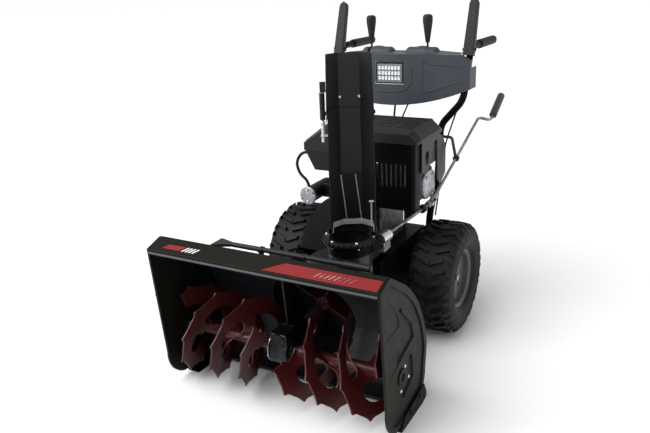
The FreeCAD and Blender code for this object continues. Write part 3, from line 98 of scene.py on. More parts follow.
class Shader:
    """A node-based material: a Principled shader and short ways to feed it."""

    def __init__(self, name):
        self.material = bpy.data.materials.new(name)
        self.material.use_nodes = True
        self.tree = self.material.node_tree
        self.surface = self.tree.nodes["Principled BSDF"]
        self.point = self.node("ShaderNodeTexCoord").outputs["Object"]

    def node(self, kind, **settings):
        """A new node with some of its properties set."""
        made = self.tree.nodes.new(kind)
        for key, value in settings.items():
            setattr(made, key, value)
        return made

    def link(self, source, target):
        """Feeds an output into an input."""
        self.tree.links.new(source, target)

    def noise(self, scale, detail=3.0, stretch=None):
        """Noise in the object's own space; scale is features per metre."""
        made = self.node("ShaderNodeTexNoise")
        made.inputs["Scale"].default_value = scale
        made.inputs["Detail"].default_value = detail
        point = self.point
        if stretch:
            mapping = self.node("ShaderNodeMapping")
            mapping.inputs["Scale"].default_value = stretch
            self.link(point, mapping.inputs["Vector"])
            point = mapping.outputs["Vector"]
        self.link(point, made.inputs["Vector"])
        return made.outputs["Fac"]

    def ramp(self, source, stops):
        """A colour ramp with the given (position, colour) stops."""
        made = self.node("ShaderNodeValToRGB")
        points = made.color_ramp.elements
        while len(points) < len(stops):
            points.new(0.5)
        for point, (position, colour) in zip(points, stops):
            point.position = position
            point.color = colour if len(colour) == 4 else (*colour, 1.0)
        self.link(source, made.inputs["Fac"])
        return made.outputs["Color"]

    def mix(self, factor, first, second):
        """A blend of two colours, each a plain colour or an output."""
        made = self.node("ShaderNodeMix", data_type="RGBA")
        self.link(factor, made.inputs["Factor"])
        for value, socket in ((first, made.inputs["A"]), (second, made.inputs["B"])):
            if isinstance(value, (tuple, list)):
                socket.default_value = (*value[:3], 1.0)
            else:
                self.link(value, socket)
        return made.outputs["Result"]

    def set(self, **values):
        """Plain numbers on the shader's own sockets."""
        for key, value in values.items():
            self.surface.inputs[key.replace("_", " ")].default_value = value

    def bump(self, height, strength, distance, edge=None):
        """Bump from a height; edge rounds the shaded corners by that many millimetres."""
        made = self.node("ShaderNodeBump")
        made.inputs["Strength"].default_value = strength
        made.inputs["Distance"].default_value = distance * MM
        self.link(height, made.inputs["Height"])
        if edge:
            self.link(self.rounded(edge), made.inputs["Normal"])
        self.link(made.outputs["Normal"], self.surface.inputs["Normal"])

    def rounded(self, radius):
        """The normal of a piece as if its corners were rounded by that many millimetres."""
        made = self.node("ShaderNodeBevel", samples=4)
        made.inputs["Radius"].default_value = radius * MM
        return made.outputs["Normal"]

    def edges(self, radius, low=0.02, high=0.2):
        """A mask that is 1 on the sharp corners of a piece and 0 on its faces."""
        geometry = self.node("ShaderNodeNewGeometry")
        dot = self.node("ShaderNodeVectorMath", operation="DOT_PRODUCT")
        self.link(self.rounded(radius), dot.inputs[0])
        self.link(geometry.outputs["Normal"], dot.inputs[1])
        made = self.node("ShaderNodeMapRange")
        made.inputs["From Min"].default_value = 1.0 - low
        made.inputs["From Max"].default_value = 1.0 - high
        self.link(dot.outputs["Value"], made.inputs["Value"])
        return made.outputs["Result"]


def scaled(colour, factor):
    """A colour made lighter or darker by a factor."""
    return tuple(min(1.0, channel * factor) for channel in colour)


def painted(name, colour, roughness, edge_wear_and_highlight, grain=260.0, coat=0.0, gloss=0.35, edge=1.2, bump=0.12):
    """Sprayed paint: a little tone drift, orange peel, and corners lightened towards a second
    colour, partly rubbed wear and partly a painted highlight.
    """
    shader = Shader(name)
    drift = shader.ramp(
        shader.noise(5.0), [(0.3, scaled(colour, 0.82)), (0.7, scaled(colour, 1.18))]
    )
    speck = shader.ramp(shader.noise(grain, 4.0), [(0.35, (0, 0, 0)), (0.75, (0.35, 0.35, 0.35))])
    toned = shader.mix(speck, drift, scaled(colour, 1.35))
    # Corners turn towards the second colour: partly rubbed paint, partly a painted highlight where
    # light catches them.
    shader.link(shader.mix(shader.edges(edge), toned, edge_wear_and_highlight), shader.surface.inputs["Base Color"])
    rough = shader.node("ShaderNodeMapRange")
    rough.inputs["To Min"].default_value = roughness - 0.07
    rough.inputs["To Max"].default_value = roughness + 0.1
    shader.link(shader.noise(30.0), rough.inputs["Value"])
    shader.link(rough.outputs["Result"], shader.surface.inputs["Roughness"])
    shader.set(Coat_Weight=coat, Coat_Roughness=0.25, Specular_IOR_Level=gloss)
    shader.bump(shader.noise(grain, 2.0), bump, 0.25, edge)
    return shader.material


def bare_metal(name, colour, roughness, stain, streak=None, spangle=60.0, bump=0.1, metal=1.0):
    """Plated, cast or turned metal: cloudy tone, fine scratches and uneven polish."""
    shader = Shader(name)
    cloud = shader.ramp(shader.noise(spangle, 5.0), [(0.35, stain), (0.62, colour)])
    # Corners a quarter lighter: a painted highlight, partly polish from wear.
    shader.link(
        shader.mix(shader.edges(0.8), cloud, scaled(colour, 1.25)),
        shader.surface.inputs["Base Color"],
    )
    rough = shader.node("ShaderNodeMapRange")
    rough.inputs["To Min"].default_value = roughness - 0.08
    rough.inputs["To Max"].default_value = roughness + 0.15
    shader.link(shader.noise(140.0, 3.0, streak), rough.inputs["Value"])
    shader.link(rough.outputs["Result"], shader.surface.inputs["Roughness"])
    shader.set(Metallic=metal)
    shader.bump(shader.noise(420.0, 3.0, streak), bump, 0.2, 0.8)
    return shader.material


def moulded(name, colour, roughness, grain=900.0, bump=0.25, edge=1.4, edge_wear_and_highlight=1.5):
    """Moulded plastic or rubber: a fine leather-like grain and soft corners, lightened partly as
    wear and partly as a painted highlight.
    """
    shader = Shader(name)
    drift = shader.ramp(
        shader.noise(7.0), [(0.3, scaled(colour, 0.85)), (0.7, scaled(colour, 1.15))]
    )
    # Corners lighter by a factor: partly wear, partly a painted highlight.
    shader.link(
        shader.mix(shader.edges(edge), drift, scaled(colour, edge_wear_and_highlight)),
        shader.surface.inputs["Base Color"],
    )
    cells = shader.node("ShaderNodeTexVoronoi")
    cells.inputs["Scale"].default_value = grain
    shader.link(shader.point, cells.inputs["Vector"])
    rough = shader.node("ShaderNodeMapRange")
    rough.inputs["To Min"].default_value = roughness - 0.05
    rough.inputs["To Max"].default_value = roughness + 0.12
    shader.link(cells.outputs["Distance"], rough.inputs["Value"])
    shader.link(rough.outputs["Result"], shader.surface.inputs["Roughness"])
    shader.set(Specular_IOR_Level=0.28)
    shader.bump(cells.outputs["Distance"], bump, 0.3, edge)
    return shader.material


def tyre_rubber(name):
    """Tyre rubber: near black with a chalky drift, lighter on its sharp corners partly as scuffing
    and partly as a painted highlight, with faint mould rings.
    """
    shader = Shader(name)
    chalk = shader.ramp(
        shader.noise(22.0, 5.0), [(0.35, (0.0035, 0.0035, 0.004)), (0.75, (0.009, 0.009, 0.01))]
    )
    # Corners lighter grey: partly scuffing, partly a painted highlight.
    shader.link(
        shader.mix(shader.edges(1.5), chalk, (0.05, 0.051, 0.054)),
        shader.surface.inputs["Base Color"],
    )
    shader.set(Roughness=0.6, Specular_IOR_Level=0.25)
    shader.bump(shader.noise(500.0, 3.0), 0.3, 0.4, 1.5)
    return shader.material


def foam(name):
    """Closed-cell foam sleeve: soft black with open pores."""
    shader = Shader(name)
    cells = shader.node("ShaderNodeTexVoronoi")
    cells.inputs["Scale"].default_value = 700.0
    shader.link(shader.point, cells.inputs["Vector"])
    # Darker where the bump dips into the pores: painted shade in the pores.
    tone = shader.ramp(
        cells.outputs["Distance"], [(0.0, (0.006, 0.006, 0.006)), (0.5, (0.022, 0.022, 0.023))]
    )
    shader.link(tone, shader.surface.inputs["Base Color"])
    shader.set(Roughness=0.9, Sheen_Weight=0.3)
    shader.bump(cells.outputs["Distance"], 0.8, 0.6)
    return shader.material


def lamp_glass(name):
    """The headlight's clear cover with a faint prism pattern."""
    shader = Shader(name)
    wave = shader.node("ShaderNodeTexWave", bands_direction="X")
    wave.inputs["Scale"].default_value = 60.0
    wave.inputs["Distortion"].default_value = 0.6
    shader.link(shader.point, wave.inputs["Vector"])
    tint = shader.ramp(wave.outputs["Fac"], [(0.0, (0.78, 0.8, 0.83)), (1.0, (0.95, 0.96, 0.97))])
    shader.link(tint, shader.surface.inputs["Base Color"])
    shader.set(Roughness=0.08, Transmission_Weight=0.85, IOR=1.49, Coat_Weight=0.5)
    shader.bump(wave.outputs["Fac"], 0.3, 0.5)
    return shader.material


def make_materials():
    """Every material of the snowblower, by the name that pieces ask for it by."""
    # The fourth colour of each painted() entry goes on the corners: partly edge wear, partly a
    # painted highlight.
    return {
        "housing_paint": painted(
            "olive_grey_paint", (0.0078, 0.007, 0.005), 0.48, (0.05, 0.046, 0.037), gloss=0.12
        ),
        # The housing's paint again, lighter and bluer with a thin coat: a painted glossy reflection,
        # used for the bucket and the impeller drum.
        "sheened_housing_paint": painted(
            "housing_paint_painted_sheen", (0.011, 0.0125, 0.0155), 0.32, (0.1, 0.11, 0.13), coat=0.1
        ),
        "black_paint": painted(
            "black_powder_coat", (0.0016, 0.0018, 0.0021), 0.42, (0.02, 0.022, 0.025), 420.0,
            gloss=0.06,
        ),
        "red_paint": painted(
            "maroon_paint", (0.05, 0.0054, 0.0056), 0.4, (0.16, 0.05, 0.048), 300.0, 0.06
        ),
        "cast_metal": bare_metal("dark_casting", (0.04, 0.04, 0.043), 0.42, (0.018, 0.018, 0.02)),
        "engine_metal": bare_metal("cast_aluminium", (0.5, 0.51, 0.53), 0.42, (0.3, 0.31, 0.33)),
        "zinc": bare_metal("bright_zinc", (0.78, 0.79, 0.8), 0.28, (0.58, 0.6, 0.62)),
        "shaft_steel": bare_metal(
            "turned_steel", (0.5, 0.5, 0.5), 0.32, (0.36, 0.36, 0.37), (1.0, 12.0, 12.0)
        ),
        "bronze": bare_metal("bronze", (0.55, 0.34, 0.14), 0.35, (0.35, 0.2, 0.08)),
        "black_plastic": moulded("black_plastic", (0.0085, 0.009, 0.0098), 0.42),
        "console_plastic": moulded("slate_plastic", (0.041, 0.049, 0.059), 0.44, edge=2.5),
        "lens": lamp_glass("lamp_cover"),
        "tyre": tyre_rubber("tyre_rubber"),
        "rim_paint": painted(
            "grey_rim_paint", (0.07, 0.073, 0.077), 0.4, (0.2, 0.205, 0.21), coat=0.1
        ),
        "rubber": moulded("soft_rubber", (0.012, 0.012, 0.013), 0.62, 500.0, 0.4),
        "foam": foam("foam_sleeve"),
        "decal_red": painted(
            "red_decal", (0.21, 0.011, 0.012), 0.42, (0.3, 0.03, 0.03), 80.0, edge=0.2, bump=0.03
        ),
        "decal_white": painted(
            "white_decal", (0.7, 0.7, 0.68), 0.4, (0.7, 0.7, 0.68), 80.0, edge=0.2, bump=0.03
        ),
        "plain_black": painted(
            "plain_black", (0.005, 0.005, 0.006), 0.45, (0.012, 0.012, 0.013), gloss=0.2
        ),
        "rod_steel": bare_metal(
            "rod_steel", (0.36, 0.37, 0.38), 0.34, (0.22, 0.225, 0.23), (1.0, 12.0, 12.0)
        ),
        "dark_aluminium": bare_metal(
            "dark_aluminium", (0.13, 0.132, 0.138), 0.5, (0.05, 0.051, 0.054)
        ),
        # Lighter blue-grey than the deck: a painted highlight along the lip's rolled bead.
        "bead_highlight_paint": painted(
            "bead_highlight_paint", (0.035, 0.038, 0.044), 0.4, (0.1, 0.105, 0.11), coat=0.1
        ),
        "pale_steel": bare_metal(
            "pale_steel", (0.62, 0.65, 0.68), 0.4, (0.5, 0.53, 0.56), metal=0.4
        ),
        "lamp_grey": moulded("lamp_grey", (0.2, 0.21, 0.22), 0.4),
        "reflector": bare_metal("lamp_reflector", (0.85, 0.86, 0.88), 0.12, (0.7, 0.71, 0.73)),
    }


# ---------------------------------------------------------------- pieces


def piece(name, mesh, looks, body, replaces=(), bevel=0.0):
    """Links a finished mesh as a piece of the snowblower that rides on a body."""
    made = bpy.data.objects.new(name, mesh)
    bpy.context.scene.collection.objects.link(made)
    mesh.materials.append(LOOKS[looks])
    if bevel:
        modifier = made.modifiers.new("edges", "BEVEL")
        modifier.width = bevel * MM
        modifier.segments = 2
        modifier.angle_limit = math.radians(30)
    smooth(mesh, SHARP_ANGLE)
    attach(made, body)
    if replaces:
        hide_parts(*replaces)
    return made


def smooth(mesh, sharp):
    """Smooth shading with the edges sharper than an angle in degrees kept crisp."""
    for polygon in mesh.polygons:
        polygon.use_smooth = True
    mesh.set_sharp_from_angle(angle=math.radians(sharp))


def mesh_of(name, bm):
    """Closes a bmesh built in millimetres into a mesh in metres."""
    bmesh.ops.remove_doubles(bm, verts=bm.verts, dist=0.001)
    bmesh.ops.recalc_face_normals(bm, faces=bm.faces)
    bmesh.ops.scale(bm, vec=(MM, MM, MM), verts=bm.verts)
    mesh = bpy.data.meshes.new(name)
    bm.to_mesh(mesh)
    bm.free()
    return mesh


def grid(bm, rows, close_rows=False, close_columns=False):
    """Faces between rows of points; the rows or their ends may join up."""
    made = [[bm.verts.new(point) for point in row] for row in rows]
    count, width = len(made), len(made[0])
    for i in range(count if close_rows else count - 1):
        for j in range(width if close_columns else width - 1):
            corners = [
                made[i][j],
                made[i][(j + 1) % width],
                made[(i + 1) % count][(j + 1) % width],
                made[(i + 1) % count][j],
            ]
            bm.faces.new(corners)
    return made


def prism(bm, outline, frame, low, high):
    """A closed slab: outline points (u, v) placed by frame(u, v, w) at w low and high."""
    bottom = [bm.verts.new(frame(u, v, low)) for u, v in outline]
    top = [bm.verts.new(frame(u, v, high)) for u, v in outline]
    bm.faces.new(bottom)
    bm.faces.new(list(reversed(top)))
    for i in range(len(outline)):
        j = (i + 1) % len(outline)
        bm.faces.new([bottom[i], bottom[j], top[j], top[i]])


def skin(bm, rows):
    """A closed skin over rings of points, with a flat cap at each end."""
    made = grid(bm, rows, close_columns=True)
    bm.faces.new(list(reversed(made[0])))
    bm.faces.new(made[-1])


def tube_along(bm, points, radius, sides=12, scale=None):
    """A closed tube through points; scale(i) may change its radius along the way."""
    points = [Vector(p) for p in points]
    rows = []
    side = None
    for i, point in enumerate(points):
        ahead = points[min(i + 1, len(points) - 1)] - points[max(i - 1, 0)]
        ahead.normalize()
        if side is None:
            side = ahead.cross(Z if abs(ahead.z) < 0.9 else X).normalized()
        side = (side - ahead * side.dot(ahead)).normalized()
        up = ahead.cross(side)
        size = radius * (scale(i) if scale else 1.0)
        turn = [2 * math.pi * k / sides for k in range(sides)]
        rows.append([point + (side * math.cos(a) + up * math.sin(a)) * size for a in turn])
    skin(bm, rows)


def arc_points(corner_points, radius, steps=6):
    """Straight runs with each corner rounded to about the radius."""
    points = [Vector(p) for p in corner_points]
    path = [points[0]]
    for before, corner, after in zip(points, points[1:], points[2:]):
        back = (before - corner).normalized()
        ahead = (after - corner).normalized()
        half = back.angle(ahead) / 2
        reach = min(
            radius / math.tan(half), (before - corner).length * 0.49, (after - corner).length * 0.49
        )
        start, end = corner + back * reach, corner + ahead * reach
        for k in range(steps + 1):
            t = k / steps
            path.append(start.lerp(corner, t).lerp(corner.lerp(end, t), t))
    path.append(points[-1])
    return path


# ---------------------------------------------------------------- wheels


TYRE_PROFILE = [
    (-58, 104), (-66, 108), (-76, 124), (-83, 146), (-83, 164), (-78, 180), (-66, 188),
    (-40, 192), (0, 193), (40, 192), (66, 188), (78, 180), (83, 164), (83, 146), (76, 124),
    (66, 108), (58, 104),
]  # fmt: skip
TYRE_BEAD_R = 104
TYRE_WALL = 8
CARCASS_STEPS = 120
LUG_COUNT = 32
LUG_LEAN = 7.5
SHOULDER_START = 66.0
SIDEWALL_RINGS = ((150, 84.2), (118, 73.5))
MIDDLE_LUG = [(2, 193), (16, 193), (30, 192.4), (46, 191.4)]
OUTER_LUG = [(15, 193), (30, 192.4), (44, 191.6), (58, 189.6)]
SHOULDER_LUG = [(63, 188.6), (71, 186), (79, 177), (82.4, 166), (83, 157)]


def wheel_point(side, across, radius, angle):
    """A point of a wheel: across is mm from its centre plane, angle in degrees from the top."""
    a = math.radians(angle)
    return Vector(
        (side * WHEEL_X + across, WHEEL_Y - radius * math.sin(a), WHEEL_Z + radius * math.cos(a))
    )


def tyre(side):
    """A pneumatic tyre: a hollow carcass with V-shaped lugs that lead over the shoulders."""
    bm = bmesh.new()
    inner = [(x * 0.88, max(TYRE_BEAD_R, r - TYRE_WALL)) for x, r in reversed(TYRE_PROFILE)]
    profile = TYRE_PROFILE + inner
    angles = [360.0 * a / CARCASS_STEPS for a in range(CARCASS_STEPS)]
    rows = [[wheel_point(side, x, r, angle) for x, r in profile] for angle in angles]
    grid(bm, rows, close_rows=True, close_columns=True)
    for i in range(LUG_COUNT):
        angle = i * 360.0 / LUG_COUNT
        for arm in (-1, 1):
            lug(bm, side, arm, angle, MIDDLE_LUG if i % 2 else OUTER_LUG, 8.2)
            lug(bm, side, arm, angle + (1.5 if i % 2 else 4.0), SHOULDER_LUG, 9.0)
    for radius, across in SIDEWALL_RINGS:
        for hand in (-1, 1):
            ring_bead(bm, side, hand * across, radius)
    return mesh_of("tyre", bm)


def ring_bead(bm, side, across, radius):
    """A thin moulded ring on the sidewall."""
    top = across + math.copysign(0.6, across)
    foot = across - 1.5
    section = [(foot, -1.6), (top, -0.6), (top, 0.6), (foot, 1.6)]
    rows = []
    for a in range(90):
        rows.append([wheel_point(side, x, radius + rise, a * 4.0) for x, rise in section])
    grid(bm, rows, close_rows=True, close_columns=True)


def lug(bm, side, arm, angle, path, half_width):
    """One bar of the tread along a path of (across, radius), leaning with the V of the tread."""
    rows = []
    for across, radius in path:
        lead = angle - LUG_LEAN * min(1.0, across / 60.0)
        on_side = max(0.0, (across - SHOULDER_START) / 17.0)
        height = 12.8 - 8.4 * on_side
        outward = (on_side * 0.95, 1.0 - on_side * 0.9)
        half_foot = math.degrees((half_width - 1.5 * on_side) / radius)
        foot_x, foot_r = across - outward[0] * 3.0, radius - outward[1] * 3.0
        top_x = across + outward[0] * height * 0.35
        top_r = min(TYRE_R - 0.3, radius + outward[1] * height)
        rows.append(
            [
                wheel_point(side, arm * foot_x, foot_r, lead - half_foot),
                wheel_point(side, arm * top_x, top_r, lead - half_foot * 0.74),
                wheel_point(side, arm * top_x, top_r, lead + half_foot * 0.74),
                wheel_point(side, arm * foot_x, foot_r, lead + half_foot),
            ]
        )
    skin(bm, rows)


def make_wheels():
    """Both tyres, as one piece."""
    joined = bmesh.new()
    for side in (-1, 1):
        joined.from_mesh(tyre(side))
    mesh = bpy.data.meshes.new("tyres")
    joined.to_mesh(mesh)
    joined.free()
    piece("tyres_lugged", mesh, "tyre", "wheels", ["tyres"], bevel=1.3)


# ---------------------------------------------------------------- augers


TEETH_PER_TURN = 10
TOOTH_DEPTH = 15.0
RIBBON_STEPS = 300
RIBBON_INNER_R = 84.0
RIBBON_HALF = 2.2
SPOKE_HALF = 2.0
SPOKE_TURNS = (20.0, 140.0, 260.0, 380.0)


def tooth_edge(angle):
    """The radius of a flight's outer edge: hooked teeth with hollow scallops between."""
    part = ((angle * TEETH_PER_TURN / 360.0) % 1.0) ** 0.75
    return AUGER_R - TOOTH_DEPTH * (1 - abs(2 * part - 1) ** 3.2)


def flight_point(hand, x, radius, angle, lift):
    """A point of a flight: x along the shaft from the middle, lift across its thickness."""
    a = math.radians(angle)
    return Vector(
        (hand * (x + lift), AUGER_Y - radius * math.sin(a), AUGER_Z + radius * math.cos(a))
    )


def ribbon(bm, hand, phase):
    """A helical ribbon of sheet with a serrated outer edge and a gently waved inner one."""
    rows = []
    for i in range(RIBBON_STEPS + 1):
        turned = 360.0 * AUGER_LENGTH / AUGER_LEAD * i / RIBBON_STEPS
        angle = phase + turned
        x = AUGER_START + AUGER_LENGTH * i / RIBBON_STEPS
        outer = tooth_edge(turned)
        inner = RIBBON_INNER_R - 8.0 * math.cos(math.radians(3 * (turned - SPOKE_TURNS[0])))
        across = (inner, (inner + outer) / 2, outer)
        low = [flight_point(hand, x, radius, angle, -RIBBON_HALF) for radius in across]
        high = [flight_point(hand, x, radius, angle, RIBBON_HALF) for radius in reversed(across)]
        rows.append(low + high)
    skin(bm, rows)


def spoke(bm, hand, phase, turned):
    """An arm from the tube to a ribbon that widens into both, lying in the ribbon's surface."""
    rows = []
    for k in range(13):
        t = k / 12
        radius = 14.0 + 80.0 * t
        half = 15.0 + 20.0 * abs(2 * t - 0.8) ** 2.4
        low, high = [], []
        for j in range(7):
            offset = half * (2 * j / 6 - 1)
            swing = math.degrees(math.atan2(offset, radius))
            reach = math.hypot(radius, offset)
            along = turned + swing
            x = AUGER_START + max(0.0, AUGER_LEAD * along / 360.0)
            low.append(flight_point(hand, x, reach, phase + along, -SPOKE_HALF))
            high.append(flight_point(hand, x, reach, phase + along, SPOKE_HALF))
        rows.append(low + list(reversed(high)))
    skin(bm, rows)


def chamfered_tube(bm, hand, along, radius):
    """A tube on the auger's axis whose first and last rings are drawn in a little."""
    points = [(hand * x, AUGER_Y, AUGER_Z) for x in along]
    tube_along(bm, points, radius, 32, lambda i: 0.93 if i in (0, 3) else 1.0)


def make_auger(hand, name, node):
    """One half of the auger: two ribbons with their spokes, the tube and its two collars."""
    bm = bmesh.new()
    for start in range(2):
        phase = AUGER_PHASE[hand] + 180.0 * start
        ribbon(bm, hand, phase)
        for turned in SPOKE_TURNS:
            spoke(bm, hand, phase, turned)
    chamfered_tube(bm, hand, (42.5, 44, 372, 373.5), 17.0)
    for x in (60.0, 352.0):
        chamfered_tube(bm, hand, (x - 9, x - 8, x + 8, x + 9), 19.5)
    piece(name, mesh_of(name, bm), "red_paint", "auger", [node])


# ---------------------------------------------------------------- deck


LIP_FRONT = Vector((0, -694.0, 499.0))
LIP_SLOPE = Vector((0, 63.0, 20.5)).normalized()
LIP_NORMAL = Vector((0, -20.5, 63.0)).normalized()


def on_lip(along, up, lift):
    """A point on the deck's sloping front band: along X, up the slope, lifted off the skin."""
    return LIP_FRONT + X * along + LIP_SLOPE * up + LIP_NORMAL * lift


def decal(name, outlines, looks):
    """Thin flat shapes laid on the deck's front band."""
    bm = bmesh.new()
    for outline in outlines:
        prism(bm, outline, on_lip, 0.15, 0.5)
    piece(name, mesh_of(name, bm), looks, "machine")


def slanted(start, end, low, high, lean=0.7):
    """A bar with both ends leaning the same way."""
    shift = (high - low) * lean
    return [(start, low), (end, low), (end + shift, high), (start + shift, high)]


def make_decals():
    """A red band, a red block and rows of plain slanted bars."""
    decal("decal_band", [[(28, 5), (382, 5), (382, 47), (86, 47)]], "decal_red")
    decal("decal_block", [slanted(-340, -276, 16, 36)], "decal_red")
    bars = [slanted(-268 + 13 * i, -261 + 13 * i, 16, 36) for i in range(4)]
    bars += [slanted(190 + 15 * i, 194 + 15 * i, 17, 35) for i in range(8)]
    decal("decal_bars", bars, "decal_white")


def raised_rib(bm, points, radius):
    """A pressed rib on a side plate: a low rounded bar that runs out at both ends."""
    path = arc_points(points, 18.0)
    count = len(path) - 1
    tube_along(bm, path, radius, 12, lambda i: max(0.25, math.sin(math.pi * i / count) ** 0.3))


RIB_X = 389.2
RIB_RADIUS = 6.6
RIB_FLATNESS = 0.5
RIB_ROUTES = (
    [(-656, 479), (-572, 374), (-564, 344), (-689, 339)],
    [(-579, 286), (-571, 227), (-641, 208)],
)
LIP_BEAD_LINE = [(x, -694.5, 487.5) for x in (-386, -384, 384, 386)]
LIP_BEAD_R = 4.0


def make_side_ribs():
    """Two pressed ribs on each side plate, flattened against it."""
    for side in (-1, 1):
        bm = bmesh.new()
        for route in RIB_ROUTES:
            raised_rib(bm, [(side * RIB_X, y, z) for y, z in route], RIB_RADIUS)
        for vert in bm.verts:
            vert.co.x = side * RIB_X + (vert.co.x - side * RIB_X) * RIB_FLATNESS
        name = "side_rib_" + ("left" if side > 0 else "right")
        piece(name, mesh_of(name, bm), "housing_paint", "machine")


def make_lip_bead():
    """The rolled bead along the bottom of the deck's front lip, in a lighter blue-grey that paints
    the highlight along it.
    """
    bm = bmesh.new()
    tube_along(bm, LIP_BEAD_LINE, LIP_BEAD_R, 14)
    piece("lip_bead", mesh_of("lip_bead", bm), "bead_highlight_paint", "machine")


# ---------------------------------------------------------------- gearbox


def bolt_head(bm, foot, out, heights, radius, sides, tapers):
    """A bolt or rivet head: rings at heights above its foot, each drawn in by its taper."""
    tube_along(bm, [foot + out * h for h in heights], radius, sides, lambda i: tapers[i])


FLANGE_SECTION = [(-33.5, 50.5), (-36.5, 50.5), (-38.5, 48), (-38.5, 36.5), (-33.5, 36.5)]
FLANGE_STEPS = 64
FLANGE_SCREWS = 8
FLANGE_SCREW_CIRCLE = 43.0


def make_gearbox_trim():
    """The machined flange and cap screws on the gearbox's right-hand side."""
    bm = bmesh.new()
    centre = Vector((0, AUGER_Y, AUGER_Z))
    rows = []
    for a in range(FLANGE_STEPS):
        turn = math.radians(a * 360 / FLANGE_STEPS)
        out = Y * math.sin(turn) + Z * math.cos(turn)
        rows.append([centre + X * x + out * r for x, r in FLANGE_SECTION])
    grid(bm, rows, close_rows=True, close_columns=True)
    for a in range(FLANGE_SCREWS):
        turn = math.radians((a + 0.5) * 360 / FLANGE_SCREWS)
        place = centre + (Y * math.sin(turn) + Z * math.cos(turn)) * FLANGE_SCREW_CIRCLE
        bolt_head(bm, place, -X, (38, 43.2, 44), 4.6, 6, (1.0, 1.0, 0.85))
    piece("gearbox_flange", mesh_of("gearbox_flange", bm), "engine_metal", "machine")


# ---------------------------------------------------------------- dash and handles


LAMP_MARGIN = 6
CUP_COLUMNS = 7
CUP_ROWS = 3
CUP_PROFILE = [(1.0, 0.0), (1.0, -2.2), (0.86, -2.6), (0.45, -0.8), (0.3, -2.0), (0.0, -2.4)]


def make_headlight():
    """Three rows of small reflectors behind the lamp's cover, in a dark frame."""
    low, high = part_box("headlight_lens")
    x0, x1, z0, z1 = low.x / MM, high.x / MM, low.z / MM, high.z / MM
    front = low.y / MM
    width = (x1 - x0 - 2 * LAMP_MARGIN) / CUP_COLUMNS
    height = (z1 - z0 - 2 * LAMP_MARGIN) / CUP_ROWS
    cups = bmesh.new()
    for i in range(CUP_COLUMNS):
        for j in range(CUP_ROWS):
            x = x0 + LAMP_MARGIN + width * (i + 0.5)
            z = z0 + LAMP_MARGIN + height * (j + 0.5)
            cup(cups, x, front - 0.6, z, width / 2 - 1.0)
    piece("lamp_cups", mesh_of("lamp_cups", cups), "reflector", "machine")
    plate = bmesh.new()
    outline = [(x0 + 4, z0 + 4), (x1 - 4, z0 + 4), (x1 - 4, z1 - 4), (x0 + 4, z1 - 4)]
    prism(plate, outline, lambda u, v, w: Vector((u, w, v)), front - 0.7, front - 0.1)
    piece("lamp_plate", mesh_of("lamp_plate", plate), "lamp_grey", "machine")


def cup(bm, x, y, z, radius):
    """One reflector: a square-rimmed hollow with a bright boss in the middle."""
    rows = []
    for a in range(24):
        turn = math.radians(a * 15)
        c, d = math.cos(turn), math.sin(turn)
        square = 1.0 / max(abs(c), abs(d)) ** 0.6
        row = []
        for share, depth in CUP_PROFILE:
            reach = radius * share * (square if share > 0.8 else 1.0)
            row.append(Vector((x + c * reach, y + depth, z + d * reach)))
        rows.append(row)
    made = grid(bm, rows, close_rows=True)
    bm.faces.new([row[0] for row in made])


def rounded_profile(points, steps=5):
    """A smooth profile through corners given as (along, radius)."""
    flat = arc_points([Vector((a, r, 0)) for a, r in points], 6.0, steps)
    return [(p.x, max(p.y, 0.0)) for p in flat]


GRIP_AXIS = Vector((0, 141, 74)).normalized()
GRIP_HALF = 64.0
GRIP_R = 14.2


def make_crank_grip():
    """Foam sleeve of the chute crank, with rounded ends."""
    low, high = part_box("crank_grip")
    axis = GRIP_AXIS
    centre = (low + high) / 2 / MM
    half = GRIP_HALF
    profile = rounded_profile([(-half, 6), (-half, GRIP_R), (half, GRIP_R), (half, 6)])
    inner = [(half, 5.8), (-half, 5.8)]
    bm = bmesh.new()
    rows = []
    side = axis.cross(X).normalized()
    up = axis.cross(side)
    for a in range(40):
        turn = math.radians(a * 9)
        out = side * math.cos(turn) + up * math.sin(turn)
        rows.append([centre + axis * w + out * r for w, r in profile + inner])
    grid(bm, rows, close_rows=True, close_columns=True)
    piece("crank_foam", mesh_of("crank_foam", bm), "foam", "crank_handle", ["crank_grip"])


def lever_frame(side):
    """A clutch lever's own axes at rest: across, out from the bar, and up along the lever."""
    lean = math.radians(CLUTCH_LEAN)
    pivot = Vector((side * 270.0, 383.0, 992.0))
    up = Vector((0, math.sin(lean), math.cos(lean)))
    out = Vector((0, math.cos(lean), -math.sin(lean)))
    return lambda u, v, w: pivot + X * u + out * v + up * w


LEVER_FOOT = -24.0
LEVER_LENGTH = 209.5
LEVER_STEPS = 30
LEVER_WEB = -12.0
RIVET_COUNT = 8
RIVET_PITCH = 21.0


def lever_section(w):
    """The channel's outline (across, out) at a height w above the pivot."""
    head = min(1.0, max(0.0, (w - 165.0) / 20.5))
    half = (20.5 - 3.5 * max(0.0, w) / 185.0) * math.sqrt(max(0.02, 1 - head**2))
    deep = 10.0 if w < 40 else 10.0 - 4.0 * (w - 40) / 145.0
    web = LEVER_WEB
    right = [
        (half - 2.5, web),
        (half, web + 3),
        (half, deep),
        (half - 2, deep),
        (half - 2, web + 3.5),
        (half - 3.5, web + 2),
    ]
    left = [(-u, v) for u, v in reversed(right)]
    return [(max(-half, min(half, u)), v) for u, v in right + left]


